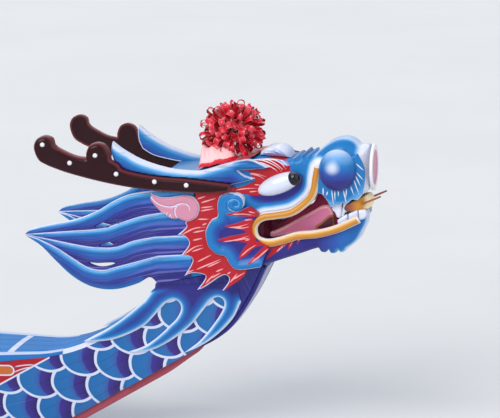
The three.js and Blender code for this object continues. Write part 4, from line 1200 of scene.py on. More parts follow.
def skull_fade(points):
    """Paint of the side of the head between eye, lip and nose, from white through azure to violet."""
    x, z = points.T
    lip = distance(points, curve(LIP_PATH))[0] - 0.018
    under = distance(points, curve(UNDER_EYE))[0]
    # Fade grows away from the lip, and most along the line under the eye, where the deep blue is a painted
    # shadow of the eye
    fade = 0.55 * ease(lip, 0.006, 0.050) + 0.45 * ease(under, 0.050, 0.006) * ease(lip, 0.030, 0.055)
    above = ease(z - 0.5 * (x - 5.9), 1.48, 1.52) * ease(x, 5.86, 5.92)
    arcs = 0.5 + 0.5 * np.sin(distance(points, mm(SNOUT_CENTRE))[0] * 260)
    fade = fade * (1 - above) + (0.26 + 0.30 * arcs) * above
    crown = distance(points, curve(SKULL[5]))[0]
    fade *= 1 - 0.6 * ease(crown, 0.014, 0.003) * ease(z, 1.47, 1.51)
    nose = ease(x, 6.165, 6.215)
    return fade * (1 - nose) + 0.08 * nose


def snout_half(x, z):
    return head_half(x) - 0.035 * ease(x, 6.17, 6.27) ** 1.5


def carve_skull():
    """The head's block, and the red flames on each temple as thin boards of their own."""
    face = Face(outline(*SKULL), spacing=0.0045, rings=(0.003, 0.008, 0.016, 0.026, 0.038))
    stops = ((0.0, "white"), (0.12, "pale"), (0.3, "light"), (0.45, "azure"), (0.62, "azure"), (0.8, "blue"))
    paint = carving_paint("skull_paint", (*stops, (1.0, "violet")), patch="red", rim=None)
    radius = 0.030 + 0.055 * ease(face.x, 5.90, 6.05) * ease(face.z, 1.38, 1.46)
    fields = {"fade": skull_fade(face.points), "patch": face.depth(FACE_FLAMES)}
    carve_block("skull", face, snout_half, radius, paint, "azure_paint", "skull", **fields)
    paint = carving_paint("temple_paint", "red", stroke="rose", rim=None)
    for number, row in enumerate(FACE_FLAMES, 1):
        face = Face(curve(row, 4, closed=True), spacing=0.003, rings=(0.002,))
        marks = face.strokes(FACE_STROKES, 0.0034)
        height = 0.0025 * rounded(face.edge, 0.004, 0.15)
        carve_sides(f"temple_flame_{number}", face, height, paint, "red_paint", stroke=marks)


def chin_half(x, z):
    return head_half(x) - 0.004 - 0.045 * ease(x, 6.10, 6.26) ** 1.5


def carve_jaw():
    face = Face(outline(*JAW), rings=(0.003, 0.008, 0.016, 0.026))
    fore = ease(face.x, 5.98, 6.14)
    low = ease(face.edge, 0.022, 0.002) * fore
    fields = {
        "fade": np.clip(0.95 - 0.42 * fore - 0.5 * low, 0, 1),
        "patch": face.depth(CHEEK_FLAMES[4:] + JAW_FLAMES),
        "stroke": face.strokes(JAW_STROKES, 0.0035),
    }
    stops = ((0.0, "pale"), (0.18, "light"), (0.38, "azure"), (0.62, "blue"), (0.95, "violet"))
    paint = carving_paint("jaw_paint", stops, stroke="rose", patch="red", rim=None)
    carve_block("lower_jaw", face, chin_half, 0.035, paint, "violet_paint", "lower_jaw", **fields)


def lip_half(x, z):
    return head_half(x) - 0.006 - 0.045 * ease(x, 6.17, 6.27)


def grow_whiskers():
    """A thin tapered rod at each side of the upper lip, leaning forward and up."""
    copper = plain_enamel("whisker_copper", "whisker", coat=0.3)
    profile = [(0, 0), (0.0056, 0.0), (0.0055, 0.03), (0.0052, 0.07), (0.0048, 0.100), (0.0, 0.103)]
    for word, side in SIDES:
        foot, tip = (np.array(end) * (1, side, 1) for end in (WHISKER_FOOT, WHISKER_TIP))
        turn = np.array(Vector(tip - foot).to_track_quat("Z", "Y").to_matrix())
        rod = turned(f"whisker_{word}", profile, 12, lambda p: p @ turn.T + foot, copper)
        settle(rod, "boat", "gold_paint", "upper_front_lip")


def mouth_half(x, z):
    return 0.055 + (head_half(x) - 0.075) * ease(x, 5.765, 5.73)


def carve_mouth():
    """The tongue with its hollow painted dark as shade, the dark lining behind it, the teeth and the front
    lip.
    """
    face = Face(outline(*TONGUE), rings=(0.003, 0.008))
    # The hollow is not carved: its dark red is painted shade of a recess, inside a copper rim
    hollow = face.depth([TONGUE_HOLLOW])
    fields = {"fade": ease(face.edge, 0, 0.04), "stroke": 0.0055 - np.abs(hollow), "patch": hollow}
    stops = ((0.0, "rose"), (0.4, "tongue"), (1.0, "tongue"))
    paint = carving_paint("tongue_paint", stops, stroke="whisker", patch="night_red", rim=None, coat=0.2)
    carve_block("tongue", face, TONGUE_HALF, 0.014, paint, "pink_paint", "tongue", **fields)
    face = Face(outline(*LINING), rings=(0.003, 0.008))
    # Dark red at the back of the mouth, turning to the mouth's red forward: painted shade in the mouth's
    # depth
    stops = ((0.0, "night_red"), (0.4, "mouth"), (1.0, "mouth"))
    paint = carving_paint("mouth_paint", stops, rim=None, coat=0.0, shine=0.15)
    fade = ease(face.x, 5.72, 6.05)
    carve_block("mouth_lining", face, mouth_half, 0.01, paint, "maroon_lacquer", fade=fade)
    enamel = plain_enamel("teeth_enamel", "white", "pale", coat=0.6)
    for number, (node, lists) in enumerate(TEETH, 1):
        face = Face(outline(*lists), rings=(0.002, 0.005))
        flush = head_half(face.x)
        front = flush - 0.014 - 0.012 * (1 - rounded(face.edge, 0.011, 0))
        for word, side in SIDES:
            piece = carved(f"tooth_{number}_{word}", side, face, front, flush - 0.038, {}, enamel)
            settle(piece, "boat", "white_paint", node)
    face = Face(curve(FRONT_LIP, closed=True), rings=(0.002, 0.005))
    stops = ((0.0, "russet"), (0.25, "whisker"), (0.55, "gold"), (0.8, "gold"), (0.95, "cream"))
    paint = carving_paint("front_lip_paint", stops, rim=None)
    fade = ease(face.x, 6.13, 6.26)
    carve_block("front_lip", face, lip_half, 0.014, paint, "gold_paint", "upper_front_lip", fade=fade)
    grow_whiskers()


def brow_half(x, z):
    return head_half(x) - 0.06


def carve_brow():
    """The brow's block, and below it at each side a board of white hair strokes over red."""
    face = Face(outline(*BROW), spacing=0.005, rings=(0.003, 0.008, 0.016))
    finish = {"stroke": "white", "rim": None, "coat": 0.0, "shine": 0.2}
    paint = carving_paint("brow_paint", ((0.0, "pale"), (0.4, "brow"), (1.0, "brow")), **finish)
    fields = {"fade": ease(face.edge, 0.0, 0.05), "stroke": face.strokes(BROW_STROKES, 0.0032)}
    carve_block("brow", face, brow_half, 0.035, paint, "white_paint", "brow", **fields)
    face = Face(outline(*HAIR), spacing=0.003)
    marks = face.strokes(HAIR_STROKES, 0.0034)
    low = 1.484 - face.z - 0.03 * ease(face.x, 5.78, 5.86)
    height = 0.004 * rounded(face.edge, 0.006, 0.1) + 0.0012 * ease(marks, -0.002, 0.001)
    paint = carving_paint("hair_paint", ((0.0, "brow"), (1.0, "lavender")), patch="red", **finish)
    fields = {"fade": ease(face.edge, 0, 0.02), "patch": low, "stroke": marks}
    carve_sides("brow_hair", face, height, paint, "red_paint", **fields)


def carve_skirts():
    """The pale hair that hangs below each nostril ball."""
    face = Face(outline(*SKIRT), spacing=0.004)
    low = face.away(outline(*SKIRT[1:3]))
    away = np.linalg.norm(face.points - BALL_AT, axis=1)
    height = 0.022 * rounded(face.edge, 0.01, 0.3) * (0.6 + 0.4 * ease(low, 0.0, 0.06))
    # The azure close to the ball is a painted shadow of the ball; further out and further forward the hair
    # pales
    fade = (1 - 0.85 * ease(away, 0.12, 0.18)) * (1 - 0.45 * ease(face.x, 6.12, 6.20))
    fields = {"edge": low, "fade": fade, "stroke": face.strokes(SKIRT_HAIR, 0.0034)}
    stops = ((0.0, "pale"), (0.03, "lavender"), (0.14, "light"), (0.5, "azure"))
    paint = carving_paint("skirt_paint", stops, stroke="white", width=0.003)
    carve_sides("nostril_skirt", face, height, paint, "azure_paint", **fields)


# Turned forms


def turned(name, profile, segments, place, material):
    """A turned form: a profile of (radius, height) points spun about an axis, and put in place by a function
    of an array of local x, y and height. The profile starts and ends on the axis."""
    profile = np.asarray(profile, float)
    angles = np.linspace(0, 2 * math.pi, segments, endpoint=False)
    rings = profile[1:-1]
    points = [(0.0, 0.0, profile[0][1])]
    for radius, height in rings:
        points += [(radius * math.cos(angle), radius * math.sin(angle), height) for angle in angles]
    points = np.array(points + [(0.0, 0.0, profile[-1][1])])
    share = np.r_[0.0, np.repeat(np.arange(1, len(rings) + 1) / (len(profile) - 1), segments), 1.0]
    last = len(points) - 1
    faces = quads(len(rings), segments, 1, closed=True)
    for i in range(segments):
        j = (i + 1) % segments
        faces.append((0, 1 + j, 1 + i))
        faces.append((last - segments + i, last - segments + j, last))
    return face_outwards(new_mesh(name, place(points), faces, {"share": share}, points[:, :2], material))


def face_outwards(piece):
    """Turns all faces round if the closed mesh is inside out."""
    mesh = piece.data
    mesh.calc_loop_triangles()
    points = np.array([v.co[:] for v in mesh.vertices])
    corners = np.array([t.vertices[:] for t in mesh.loop_triangles])
    a, b, c = (points[corners[:, i]] for i in range(3))
    if np.einsum("ij,ij->i", a, np.cross(b, c)).sum() < 0:
        mesh.flip_normals()
    return piece


def half_circle(count, radius, reach):
    angles = np.linspace(-math.pi / 2, math.pi / 2, count)
    return np.c_[np.cos(angles), np.sin(angles)] * (radius, reach)


def egg_place(side, local):
    """Puts an egg, whose long axis is its height, on the side of the head."""
    x = local[:, 2] * math.cos(EYE_TILT) - local[:, 0] * math.sin(EYE_TILT)
    z = local[:, 2] * math.sin(EYE_TILT) + local[:, 0] * math.cos(EYE_TILT)
    flush = head_half(EYE_AT[0] + x) + GAP
    out = np.maximum(head_half(EYE_AT[0]) + EYE_OUT + local[:, 1], flush)
    return np.c_[EYE_AT[0] + x, side * out, EYE_AT[1] + z]


def pupil_place(side, local):
    """The pupil is the front of a ball on the egg."""
    out = np.maximum(local[:, 1], -0.01) + 0.012
    return egg_place(side, np.c_[local[:, 0] * 0.98, out, local[:, 2] + PUPIL_AT])


def carve_eyes():
    white = plain_enamel("eye_enamel", "white", "pale", coat=0.9, rough=0.2, chips=0.05, dust=0.15)
    black, graph, shader = new_material("pupil_glass")
    vector, _, _, z = graph.place()
    # The pupil turns from near black to grey-blue at its top: a painted reflection
    rise = (z - (EYE_AT[1] + 0.02)) / 0.04 + (graph.noise(vector, 60.0) - 0.5) * 0.3
    graph.fill(shader, {
        "Base Color": graph.ramp(rise, [(0.0, "04050a"), (0.8, "10131e"), (1.0, "3e475c")]),
        "Roughness": graph.noise(vector, 30.0) * 0.1 + 0.08,
        "Specular IOR Level": 0.25,
        "Coat Weight": 0.4,
    })
    shape = half_circle(26, EYE_RADII[1], EYE_RADII[0])
    front = half_circle(16, *PUPIL_RADII)
    for word, side in SIDES:
        egg = turned(f"eye_{word}_egg", shape, 40, partial(egg_place, side), white)
        settle(egg, "boat", "white_paint", f"eye_{word}")
        pupil = turned(f"pupil_{word}", front, 32, partial(pupil_place, side), black)
        settle(pupil, "boat", "maroon_lacquer")


def ball_place(side, local):
    x = BALL_AT[0] + local[:, 0]
    out = np.maximum(head_half(BALL_AT[0]) + BALL_OUT + local[:, 2], head_half(x) + GAP)
    return np.c_[x, side * out, BALL_AT[1] + local[:, 1] * BALL_RADII[2] / BALL_RADII[0]]


def carve_nostrils():
    material, graph, shader = new_material("ball_paint")
    vector, x, _, z = graph.place()
    rise = (z - (BALL_AT[1] - BALL_RADII[2])) / (2 * BALL_RADII[2]) + (graph.noise(vector, 14.0) - 0.5) * 0.08
    stops = [(0.05, "violet"), (0.28, "2a2c86"), (0.46, "blue"), (0.66, "azure")]
    stops += [(0.84, "6fa6dc"), (0.97, "b7cbe8")]
    # A painted highlight: a soft pale spot high on the ball, over blue that darkens towards the bottom
    east, north = (x - BALL_AT[0] + 0.012) / 0.044, (z - BALL_AT[1] - 0.022) / 0.038
    painted_highlight = (east * east + north * north).power(0.5).step(1.15, 0.1)
    shade = graph.mix(painted_highlight * 0.85, graph.ramp(rise, stops), "pale")
    enamel_finish(graph, shader, shade, rough=0.4, coat=0.1, chips=0.1)
    shape = half_circle(30, BALL_RADII[0], BALL_RADII[1])
    for word, side in SIDES:
        ball = turned(f"nostril_{word}_ball", shape, 56, partial(ball_place, side), material)
        settle(ball, "boat", "azure_paint", f"nostril_{word}")


def disc_place(local):
    y, z = (local[:, :2] * NOSE_RADII).T
    return np.c_[NOSE_AT[0] + local[:, 2], y, NOSE_AT[1] + z]


def carve_nose():
    """A shallow dish with a raised rim on the end of the snout."""
    material, graph, shader = new_material("nose_paint")
    stops = [(0.0, "c8788e"), (0.26, "pink"), (0.38, "d99aa8"), (0.42, "white")]
    enamel_finish(graph, shader, graph.ramp(graph.attribute("share"), stops), coat=0.3)
    profile = [
        (0, 0.004), (0.25, 0.0042), (0.5, 0.005), (0.68, 0.007), (0.74, 0.011), (0.80, 0.0135),
        (0.90, 0.0142), (0.98, 0.0125), (1.0, 0.009), (1.0, 0.0), (0.6, 0.0), (0, 0.0),
    ]
    disc = turned("nose_disc_carved", profile, 48, disc_place, material)
    settle(disc, "boat", "pink_paint", "nose_disc")


# Geometry Nodes


class Geometry(Graph):
    """A Geometry Nodes tree that ends in realized instances with one material."""

    def __init__(self, name, inputs):
        tree = bpy.data.node_groups.new(name, "GeometryNodeTree")
        super().__init__(tree)
        tree.interface.new_socket("Geometry", in_out="INPUT", socket_type="NodeSocketGeometry")
        self.sockets = {}
        for key, (kind, value) in inputs.items():
            socket = tree.interface.new_socket(key, in_out="INPUT", socket_type=kind)
            self.sockets[key] = (socket.identifier, value)
        tree.interface.new_socket("Geometry", in_out="OUTPUT", socket_type="NodeSocketGeometry")
        self.entry = self.node("NodeGroupInput")

    def value(self, key):
        return Term(self, self.entry.outputs[key])

    def finish(self, geometry, material):
        real = self.node("GeometryNodeRealizeInstances", {"Geometry": geometry})
        inputs = {"Geometry": real.outputs["Geometry"], "Material": material}
        painted = self.node("GeometryNodeSetMaterial", inputs)
        self.node("NodeGroupOutput", {"Geometry": painted.outputs["Geometry"]})

    def bake(self, name, base, material):
        """Runs the tree on a base object and returns the result as a plain mesh object."""
        modifier = base.modifiers.new(name, "NODES")
        modifier.node_group = self.tree
        for identifier, value in self.sockets.values():
            modifier[identifier] = value
        graph = bpy.context.evaluated_depsgraph_get()
        mesh = bpy.data.meshes.new_from_object(base.evaluated_get(graph))
        mesh.name = name
        mesh.materials.clear()
        mesh.materials.append(material)
        mesh.polygons.foreach_set("use_smooth", np.ones(len(mesh.polygons), bool))
        base.modifiers.clear()
        bpy.data.objects.remove(base)
        made = bpy.data.objects.new(name, mesh)
        bpy.context.scene.collection.objects.link(made)
        return made


def studs(name, places, radius, height, material, slot):
    """Round-headed studs on the boat. Each place is a point and the direction that the stud leans out in."""
    mesh = bpy.data.meshes.new(name + "_points")
    mesh.from_pydata([point for point, facing in places], [], [])
    layer = mesh.attributes.new("facing", "FLOAT_VECTOR", "POINT")
    layer.data.foreach_set("vector", np.array([facing for point, facing in places], dtype=np.float32).ravel())
    base = bpy.data.objects.new(name + "_points", mesh)
    bpy.context.scene.collection.objects.link(base)
    sizes_of = {"Radius": ("NodeSocketFloat", radius), "Height": ("NodeSocketFloat", height)}
    tree = Geometry(name + "_tree", sizes_of)
    wide, high = tree.value("Radius"), tree.value("Height")
    ball = tree.node("GeometryNodeMeshUVSphere", {"Segments": 12, "Rings": 8, "Radius": 1.0})
    squash = {"Geometry": ball.outputs["Mesh"], "Scale": tree.vector(wide, wide, high)}
    squashed = tree.node("GeometryNodeTransform", squash)
    facing = tree.node("GeometryNodeInputNamedAttribute", {"Name": "facing"}, data_type="FLOAT_VECTOR")
    turn = tree.node("FunctionNodeAlignRotationToVector", {"Vector": facing.outputs["Attribute"]}, axis="Z")
    placed = tree.node("GeometryNodeInstanceOnPoints", {
        "Points": tree.entry.outputs["Geometry"],
        "Instance": squashed.outputs["Geometry"],
        "Rotation": turn.outputs["Rotation"],
    })
    tree.finish(placed.outputs["Instances"], material)
    settle(tree.bake(name, base, material), "boat", slot)


# Ribbon


ROSETTE_AT = (5.548, 0.0, 1.598)
ROSETTE_RADII = (0.170, 0.160, 0.152)
ROSETTE_FOOT = 1.462
LOOP = {"length": 0.105, "width": 0.031, "thick": 0.011}


def satin(name, gloss=0.7, fold=0.6):
    material, graph, shader = new_material(name)
    along, across = graph.flat()
    weave = graph.group("satin_weave", Along=along, Across=across)
    # Painted sheen: lighter streaks along the satin, and pale pink where the share is high, at the loop edges
    # and on the sash's fold and ends
    shade = graph.mix(weave["Streaks"].step(0.45, 0.7) * 0.35, "satin", "ee4452")
    rim = graph.attribute("share").step(0.88, 0.98)
    graph.fill(shader, {
        "Base Color": graph.mix(rim * fold, shade, "f2c4c6"),
        "Roughness": weave["Streaks"] * 0.12 + 0.2,
        "Normal": graph.bump(weave["Ribs"] * 0.5 + weave["Streaks"], 0.25, 0.0006),
        "Sheen Weight": 0.5,
        "Sheen Roughness": 0.3,
        "Sheen Tint": "ffb0b4",
        "Specular IOR Level": gloss,
    })
    return material


def ribbon_loops(seed):
    """One mesh of many loops that stand out from a ball, each a band that leaves the middle and returns."""
    rng = np.random.default_rng(seed)
    count, foot = sizes().ribbon_loops, 0.28
    rows, columns = 15, 5
    grid = np.meshgrid(np.linspace(0, 1, rows), np.linspace(-0.5, 0.5, columns), indexing="ij")
    t, v = (part.ravel() for part in grid)
    away = np.sin(np.pi * t) ** 0.75
    points, faces, flat = [], [], []
    for index in range(count):
        rise = 1 - 1.9 * (index + 0.5) / count
        angle = index * 2.39996 + rng.uniform(-0.2, 0.2)
        level = math.sqrt(max(0.0, 1 - rise * rise))
        out = np.array([level * math.cos(angle), level * math.sin(angle), rise])
        aside = np.cross(out, rng.normal(size=3))
        aside /= np.linalg.norm(aside)
        across = np.cross(out, aside)
        spin = rng.uniform(0.80, 1.04) if index % 4 else 0.5
        broad = LOOP["width"] * (1.0 if index % 4 else 1.7)
        thick = LOOP["thick"] * rng.uniform(0.8, 1.7)
        turn = rng.uniform(-0.5, 0.5) * (t - 0.5) * 2
        swell = np.sin(2 * np.pi * t) * thick * (0.35 + away) + rng.uniform(-0.3, 0.3) * 0.02 * away
        half = v * broad * (0.35 + 0.65 * away)
        radial = (foot + (1 - foot) * away) * spin
        curl = 0.006 * (4 * v * v - 0.5) * away
        faces += quads(rows, columns, index * rows * columns)
        points.append(
            np.array(ROSETTE_AT) + np.outer(radial, out * ROSETTE_RADII) + np.outer(curl, out)
            + np.outer(half * np.cos(turn), aside) + np.outer(swell + half * np.sin(turn), across)
        )
        flat.append(np.c_[t * 2 * LOOP["length"] * spin, v * LOOP["width"]])
    points = np.vstack(points)
    points[:, 2] = np.maximum(points[:, 2], ROSETTE_FOOT)
    # The share grows towards each loop's edges, where the satin paint puts painted pale sheen
    return points, faces, np.vstack(flat), np.tile(np.abs(v) * 2, count)


def tie_rosette():
    points, faces, flat, share = ribbon_loops(7)
    cloth = satin("ribbon_satin_cloth")
    piece = new_mesh("rosette_ribbon", points, faces, {"share": share}, flat, cloth, sharp=180.0)
    settle(piece, "boat", "ribbon_satin", "rosette")


def sash_height(x, y):
    """The crown under the sash, with soft folds and one loose fold that stands up beside the rosette."""
    crown = 1.4183 + (x - 5.395) * 0.243
    folds = 0.0024 * np.sin((x - 5.4) * 97 + 9 * y) + 0.0012 * np.sin((x - 5.4) * 216 - 17 * y)
    across = ease(np.abs(y + 0.092), 0.074, 0.012)
    along = ease(x, 5.398, 5.412) * ease(x, 5.600, 5.540)
    tent = across * along * (1.0 - 2.6 * np.maximum(x - 5.41, 0)) * (1 + 0.08 * np.sin((x - 5.4) * 120))
    return crown + 0.0062 + folds * (1 - tent) + 0.098 * tent, tent


def tie_sash():
    """The sash over the crown: a ribbon drawn tight over the crests at each side."""
    rows, columns = 73, 49
    fore, aft, half = 5.690, 5.400, 0.172
    u, v = np.meshgrid(np.linspace(0, 1, columns), np.linspace(-1, 1, rows))
    x, y = (aft + (fore - aft) * u).ravel(), (v * half).ravel()
    z, tent = sash_height(x, y)
    # The share is full on the loose fold and high at the sash's fore and aft ends: the satin paint puts
    # painted pale sheen there
    fields = {"share": np.maximum(np.abs(u.ravel() - 0.5) * 1.86, 1.0 - 0.3 * (tent < 0.16))}
    cloth = satin("sash_satin_cloth", 0.35, 0.9)
    faces = quads(rows, columns)
    piece = new_mesh("sash_ribbon", np.c_[x, y, z], faces, fields, np.c_[x - aft, y], cloth, sharp=180.0)
    settle(piece, "boat", "ribbon_satin", "sash")


# Hull


def scale_paint(name, neck=False):
    """Fish scales on the planks or the neck: pale outlines, azure, then bands of blue and violet."""
    material, graph, shader = new_material(name)
    vector, x, y, z = graph.place()
    hand = (graph.noise(vector, 11.0, 2.0) - 0.5) * 0.05
    along = x.absolute() / sizes().scale_pitch + hand
    up = (z - y.absolute() * 0.54 + 0.0015) / sizes().scale_row + hand
    scales = graph.group("fish_scales", Along=along, Up=up)
    bands = [(0.0, "1668a8"), (0.46, "1d6cb0"), (0.50, "2f66ac"), (0.63, "2f5ca6")]
    bands += [(0.67, "3a2c8c"), (1.0, "night")]
    streaks = (graph.noise(vector, 26.0, 3.0) - 0.5) * 0.05
    shade = graph.ramp(scales["Across"] + streaks, bands)
    rim = scales["Inward"].step(0.0175, 0.0145)
    shade = graph.mix(rim, shade, "pale")
    if neck:
        brushed = graph.group("brush_lines", Along=z, Across=x + z * 0.4, Lines=90)
        upper = graph.mix(brushed["Light"] * 0.3, "violet", "5a62c0")
        rise = z - 0.492
        ahead = x.absolute() - (rise * 1.537 - rise * rise * 2.54 + 5.377)
        plain = z.step(0.775, 0.785).high(ahead.step(0.0, 0.003) * z.step(0.50, 0.51))
        shade = graph.mix(plain, shade, upper)
    else:
        band = graph.group("red_band", Along=x.absolute(), Up=z)
        shade = graph.mix(band["Red"], shade, "red")
        shade = graph.mix(band["Cartouche"], shade, "c96a2c")
        shade = graph.mix(band["Line"], shade, "pale")
        shade = graph.mix(z.step(-0.035, -0.04), shade, "violet")
        shade = graph.mix((z + 0.034).absolute().step(0.007, 0.005), shade, "pale")
        grime = graph.attribute("seam").step(0.006, 0.0) * (graph.noise(vector, 5.0, 3.0) * 0.5 + 0.1)
        shade = graph.mix(grime, shade, "1c1a3c")
        grain = graph.group("timber_grain", Along=x, Across=z, Depth=y)
        planks = graph.mix(grain["Rings"], "a9763f", "86562b")
        planks = graph.mix(grain["Pores"] * 0.6, planks, "dark_timber")
        shade = graph.mix(graph.attribute("inner"), shade, planks)
    enamel_finish(graph, shader, shade, rough=0.32, coat=0.25)
    return material


def red_band(graph, Along, Up):
    """The red band under the rail with its white line and its round-ended panels. It is pointed at its end,
    where short white strokes curve forward."""
    low = (0.422 - (4.626 - Along) * 0.583).high(0.245)
    inside_band = (Up - low).step(0.0, 0.002) * Along.step(4.632, 4.630)
    line = ((Up - low).absolute().step(0.006, 0.004)) * Along.step(4.634, 4.632)
    pitch = 0.62
    cell = ((Along - 4.26) / pitch + 0.5).fraction() - 0.5
    flat = ((cell * pitch).absolute() - 0.160).high(0.0)
    rise = Up - 0.352
    away = (flat * flat + rise * rise).power(0.5)
    rim = (away - 0.027).absolute().step(0.0045, 0.003)
    ahead = Along - 4.47

    def stroke(height, slope, bend):
        return (Up - height - ahead * slope + ahead * ahead * bend).absolute().step(0.0045, 0.002)

    upper = stroke(0.376, 0.22, 1.6) * ahead.step(-0.02, 0.0)
    lower = stroke(0.352, 0.42, 2.2) * ahead.step(-0.03, -0.01)
    strokes = upper.high(lower) * ahead.step(0.095, 0.06)
    marks = rim.high(strokes * 0.9) * inside_band
    return {"Red": inside_band, "Line": line.high(marks), "Cartouche": away.step(0.025, 0.023) * inside_band}


def loft(name, stations, ring_at, material, sharp=38.0, fields=(), place=None):
    """A closed form through rings of points, one at each station along the boat, with capped ends. The fields
    hold lists of values for the points of a ring, or are a function that gives them for a station."""
    rings = [np.asarray(ring_at(x)) for x in stations]
    count = len(rings[0])
    points = np.vstack([np.c_[np.full(count, x), ring] for x, ring in zip(stations, rings)])
    values = [fields(x) if callable(fields) else fields for x in stations]
    fields = {key: np.concatenate([value[key] for value in values]) for key in values[0]}
    faces = quads(len(stations), count, closed=True)
    faces += [tuple(range(count))[::-1], tuple(range(len(points) - count, len(points)))]
    placed = place(points) if place else points
    return face_outwards(new_mesh(name, placed, faces, fields, points[:, :2], material, sharp))


def hull_section(x, inset):
    """One side of a section from the keel to the rail, as y and z, set in from the outside. Each strake has a
    fine groove at its edges on the outside."""
    foot = np.array([KEEL_HALF + 0.006, keel_z(x) + KEEL_DEPTH])
    bilge_y = float(side_half(x, foot[1] - DEADRISE * foot[0])) / (1 - DEADRISE * FLARE)
    bilge = np.array([bilge_y, foot[1] + DEADRISE * (bilge_y - foot[0])])
    top_z = sheer_z(x) - RAIL_CAP - GAP
    top = np.array([float(side_half(x, top_z)), top_z])
    start = foot + (bilge - foot) * 0.55
    end = bilge + (top - bilge) * 0.3
    t = np.linspace(0, 1, 12)[:, None]
    turn = start * (1 - t) ** 2 + 2 * bilge * t * (1 - t) + end * t * t
    line = np.vstack([foot, turn, top])
    length = np.concatenate([[0.0], np.cumsum(np.linalg.norm(np.diff(line, axis=0), axis=1))])
    at = STRAKE_POINTS * length[-1]
    even = np.c_[np.interp(at, length, line[:, 0]), np.interp(at, length, line[:, 1])]
    ahead = np.gradient(even, axis=0)
    ahead /= np.linalg.norm(ahead, axis=1)[:, None]
    normal = np.c_[-ahead[:, 1], ahead[:, 0]]
    normal[0], normal[-1] = (0, 1), (-1.054, 0)
    depth = inset if inset else np.where(STRAKE_EDGE, STRAKE_GROOVE, 0.0)[:, None]
    even = even + normal * depth
    return np.vstack([[GAP / 2, even[0][1]], even])


def plank_ring(x, side):
    outer, inner = hull_section(x, 0.0), hull_section(x, PLANK)
    return np.vstack([outer, inner[::-1]]) * (side, 1)


def lay_planks(skin):
    stations = np.linspace(-HULL_END + GAP, HULL_END - GAP, 181)
    count = len(STRAKE_POINTS) + 1
    seam = np.r_[1.0, np.where(STRAKE_EDGE, 0.0, 0.02)]
    fields = {"inner": np.repeat([0.0, 1.0], count), "seam": np.r_[seam, seam[::-1]]}
    lengths = ("aft", "midship", "fore")
    for word, side in SIDES:
        piece = loft(f"planks_{word}", stations, partial(plank_ring, side=side), skin, 30.0, fields)
        nodes = [f"{part}_{length}" for part in (f"hull_side_{word}", "hull_bottom") for length in lengths]
        settle(piece, "boat", "azure_paint", *nodes)


def rail_ring(x, side):
    """The rail's section, with rounded corners. Its outer lip tapers away before the rail ends."""
    lip = 1 - ease(abs(x), 4.25, 4.68)
    top = sheer_z(x)
    cap = top - RAIL_CAP
    low = cap - 0.0252 * lip
    out = 0.0015 + 0.0125 * lip
    inner = side_half(x, cap) - RAIL_BREADTH
    outer, under = side_half(x, top) + out, side_half(x, low) + out
    ring = [
        (inner, cap), (inner, top - 0.006), (inner + 0.0018, top - 0.0018), (inner + 0.006, top),
        (outer - 0.009, top), (outer - 0.0045, top - 0.0010), (outer - 0.0012, top - 0.0040),
        (outer - 0.003, top - 0.010), (under, low + 0.006), (under - 0.002, low + 0.0015),
        (under - 0.0045, low), (side_half(x, low) + 0.0005, low), (side_half(x, cap) + 0.0005, cap - 0.0001),
    ]
    return np.array(ring, float) * (side, 1)


def deck_ring(x):
    """The deck's section: lightly crowned boards with grooves between them."""
    covered = 0.0 if abs(x) > RAIL_END else RAIL_BREADTH + 2 * GAP
    half = float(side_half(x, sheer_z(x) - DECK_THICK)) - covered
    y = np.r_[-half, np.clip(DECK_ROWS, -half + 0.004, half - 0.004), half]
    crown = 0.006 * (1 - (y / half) ** 2)
    groove = np.where(np.r_[False, DECK_GROOVES, False], DECK_GROOVE, 0.0)
    edge = np.where(np.abs(y) > half - 0.001, 0.003, 0.0)
    top = np.c_[y, sheer_z(x) + crown - groove - edge]
    return np.vstack([top, [[half, sheer_z(x) - DECK_THICK], [-half, sheer_z(x) - DECK_THICK]]])


def deck_fields(x):
    """How far each point is from the deck's side, where no rail covers it."""
    far = np.abs(deck_ring(x)[:, 0])
    return {"rim": far.max() - far if abs(x) > RAIL_END else np.ones(len(far))}


def lay_decks():
    paint = deck_paint()
    cut = 0.0004
    for node, start, end in (("foredeck", FOREDECK_FROM, 1), ("afterdeck", AFTERDECK_FROM, -1)):
        covered = np.linspace(start, RAIL_END - cut, 24)
        stations = np.r_[covered, np.linspace(RAIL_END + cut, HULL_END - 2 * GAP, 12)]
        piece = loft(f"{node}_boards", np.sort(stations * end), deck_ring, paint, 30.0, deck_fields)
        settle(piece, "boat", "sky_paint", node)


def fit_rails():
    stations = np.linspace(-RAIL_END + GAP, RAIL_END - GAP, 161)
    line = np.repeat([0.0, 1.0, 0.0], [3, 4, 6])
    paint = rail_paint()
    for word, side in SIDES:
        piece = loft(f"rail_{word}", stations, partial(rail_ring, side=side), paint, fields={"line": line})
        settle(piece, "boat", "sky_paint", f"gunwale_{word}")
    places = []
    for x in np.arange(-4.05, 4.06, 0.45):
        for side in (-1, 1):
            places.append(((x, side * (float(side_half(x, sheer_z(x))) - 0.012), sheer_z(x)), (0, 0, 1)))
    screw = plain_enamel("screw_head", "pale", "sky", rough=0.5)
    studs("rail_plugs", places, 0.006, 0.0022, screw, "sky_paint")


def paint_hull():
    lay_planks(scale_paint("hull_scales"))
    fit_rails()
    lay_decks()
    set_material(scale_paint("neck_scales", neck=True), "neck")
    set_material(scale_paint("tail_scales", neck=True), "tail_block")
    set_material(plain_enamel("keel_enamel", "keel", rough=0.55, chips=0.6, coat=0.05), "keel")
    raise_posts()


def worn_sky(graph, vector):
    return graph.mix(slow_drift(graph, vector), "sky", "2a74ba")


def rail_paint():
    material, graph, shader = new_material("rail_paint")
    vector = graph.place()[0]
    shade = worn_sky(graph, vector)
    hand = (graph.noise(vector, 9.0, 2.0) - 0.5) * 0.004
    shade = graph.mix((graph.attribute("line") + hand).step(0.55, 0.75) * 0.8, shade, "pale")
    enamel_finish(graph, shader, shade, chips=0.5, rough=0.5, coat=0.0, shine=0.2)
    return material


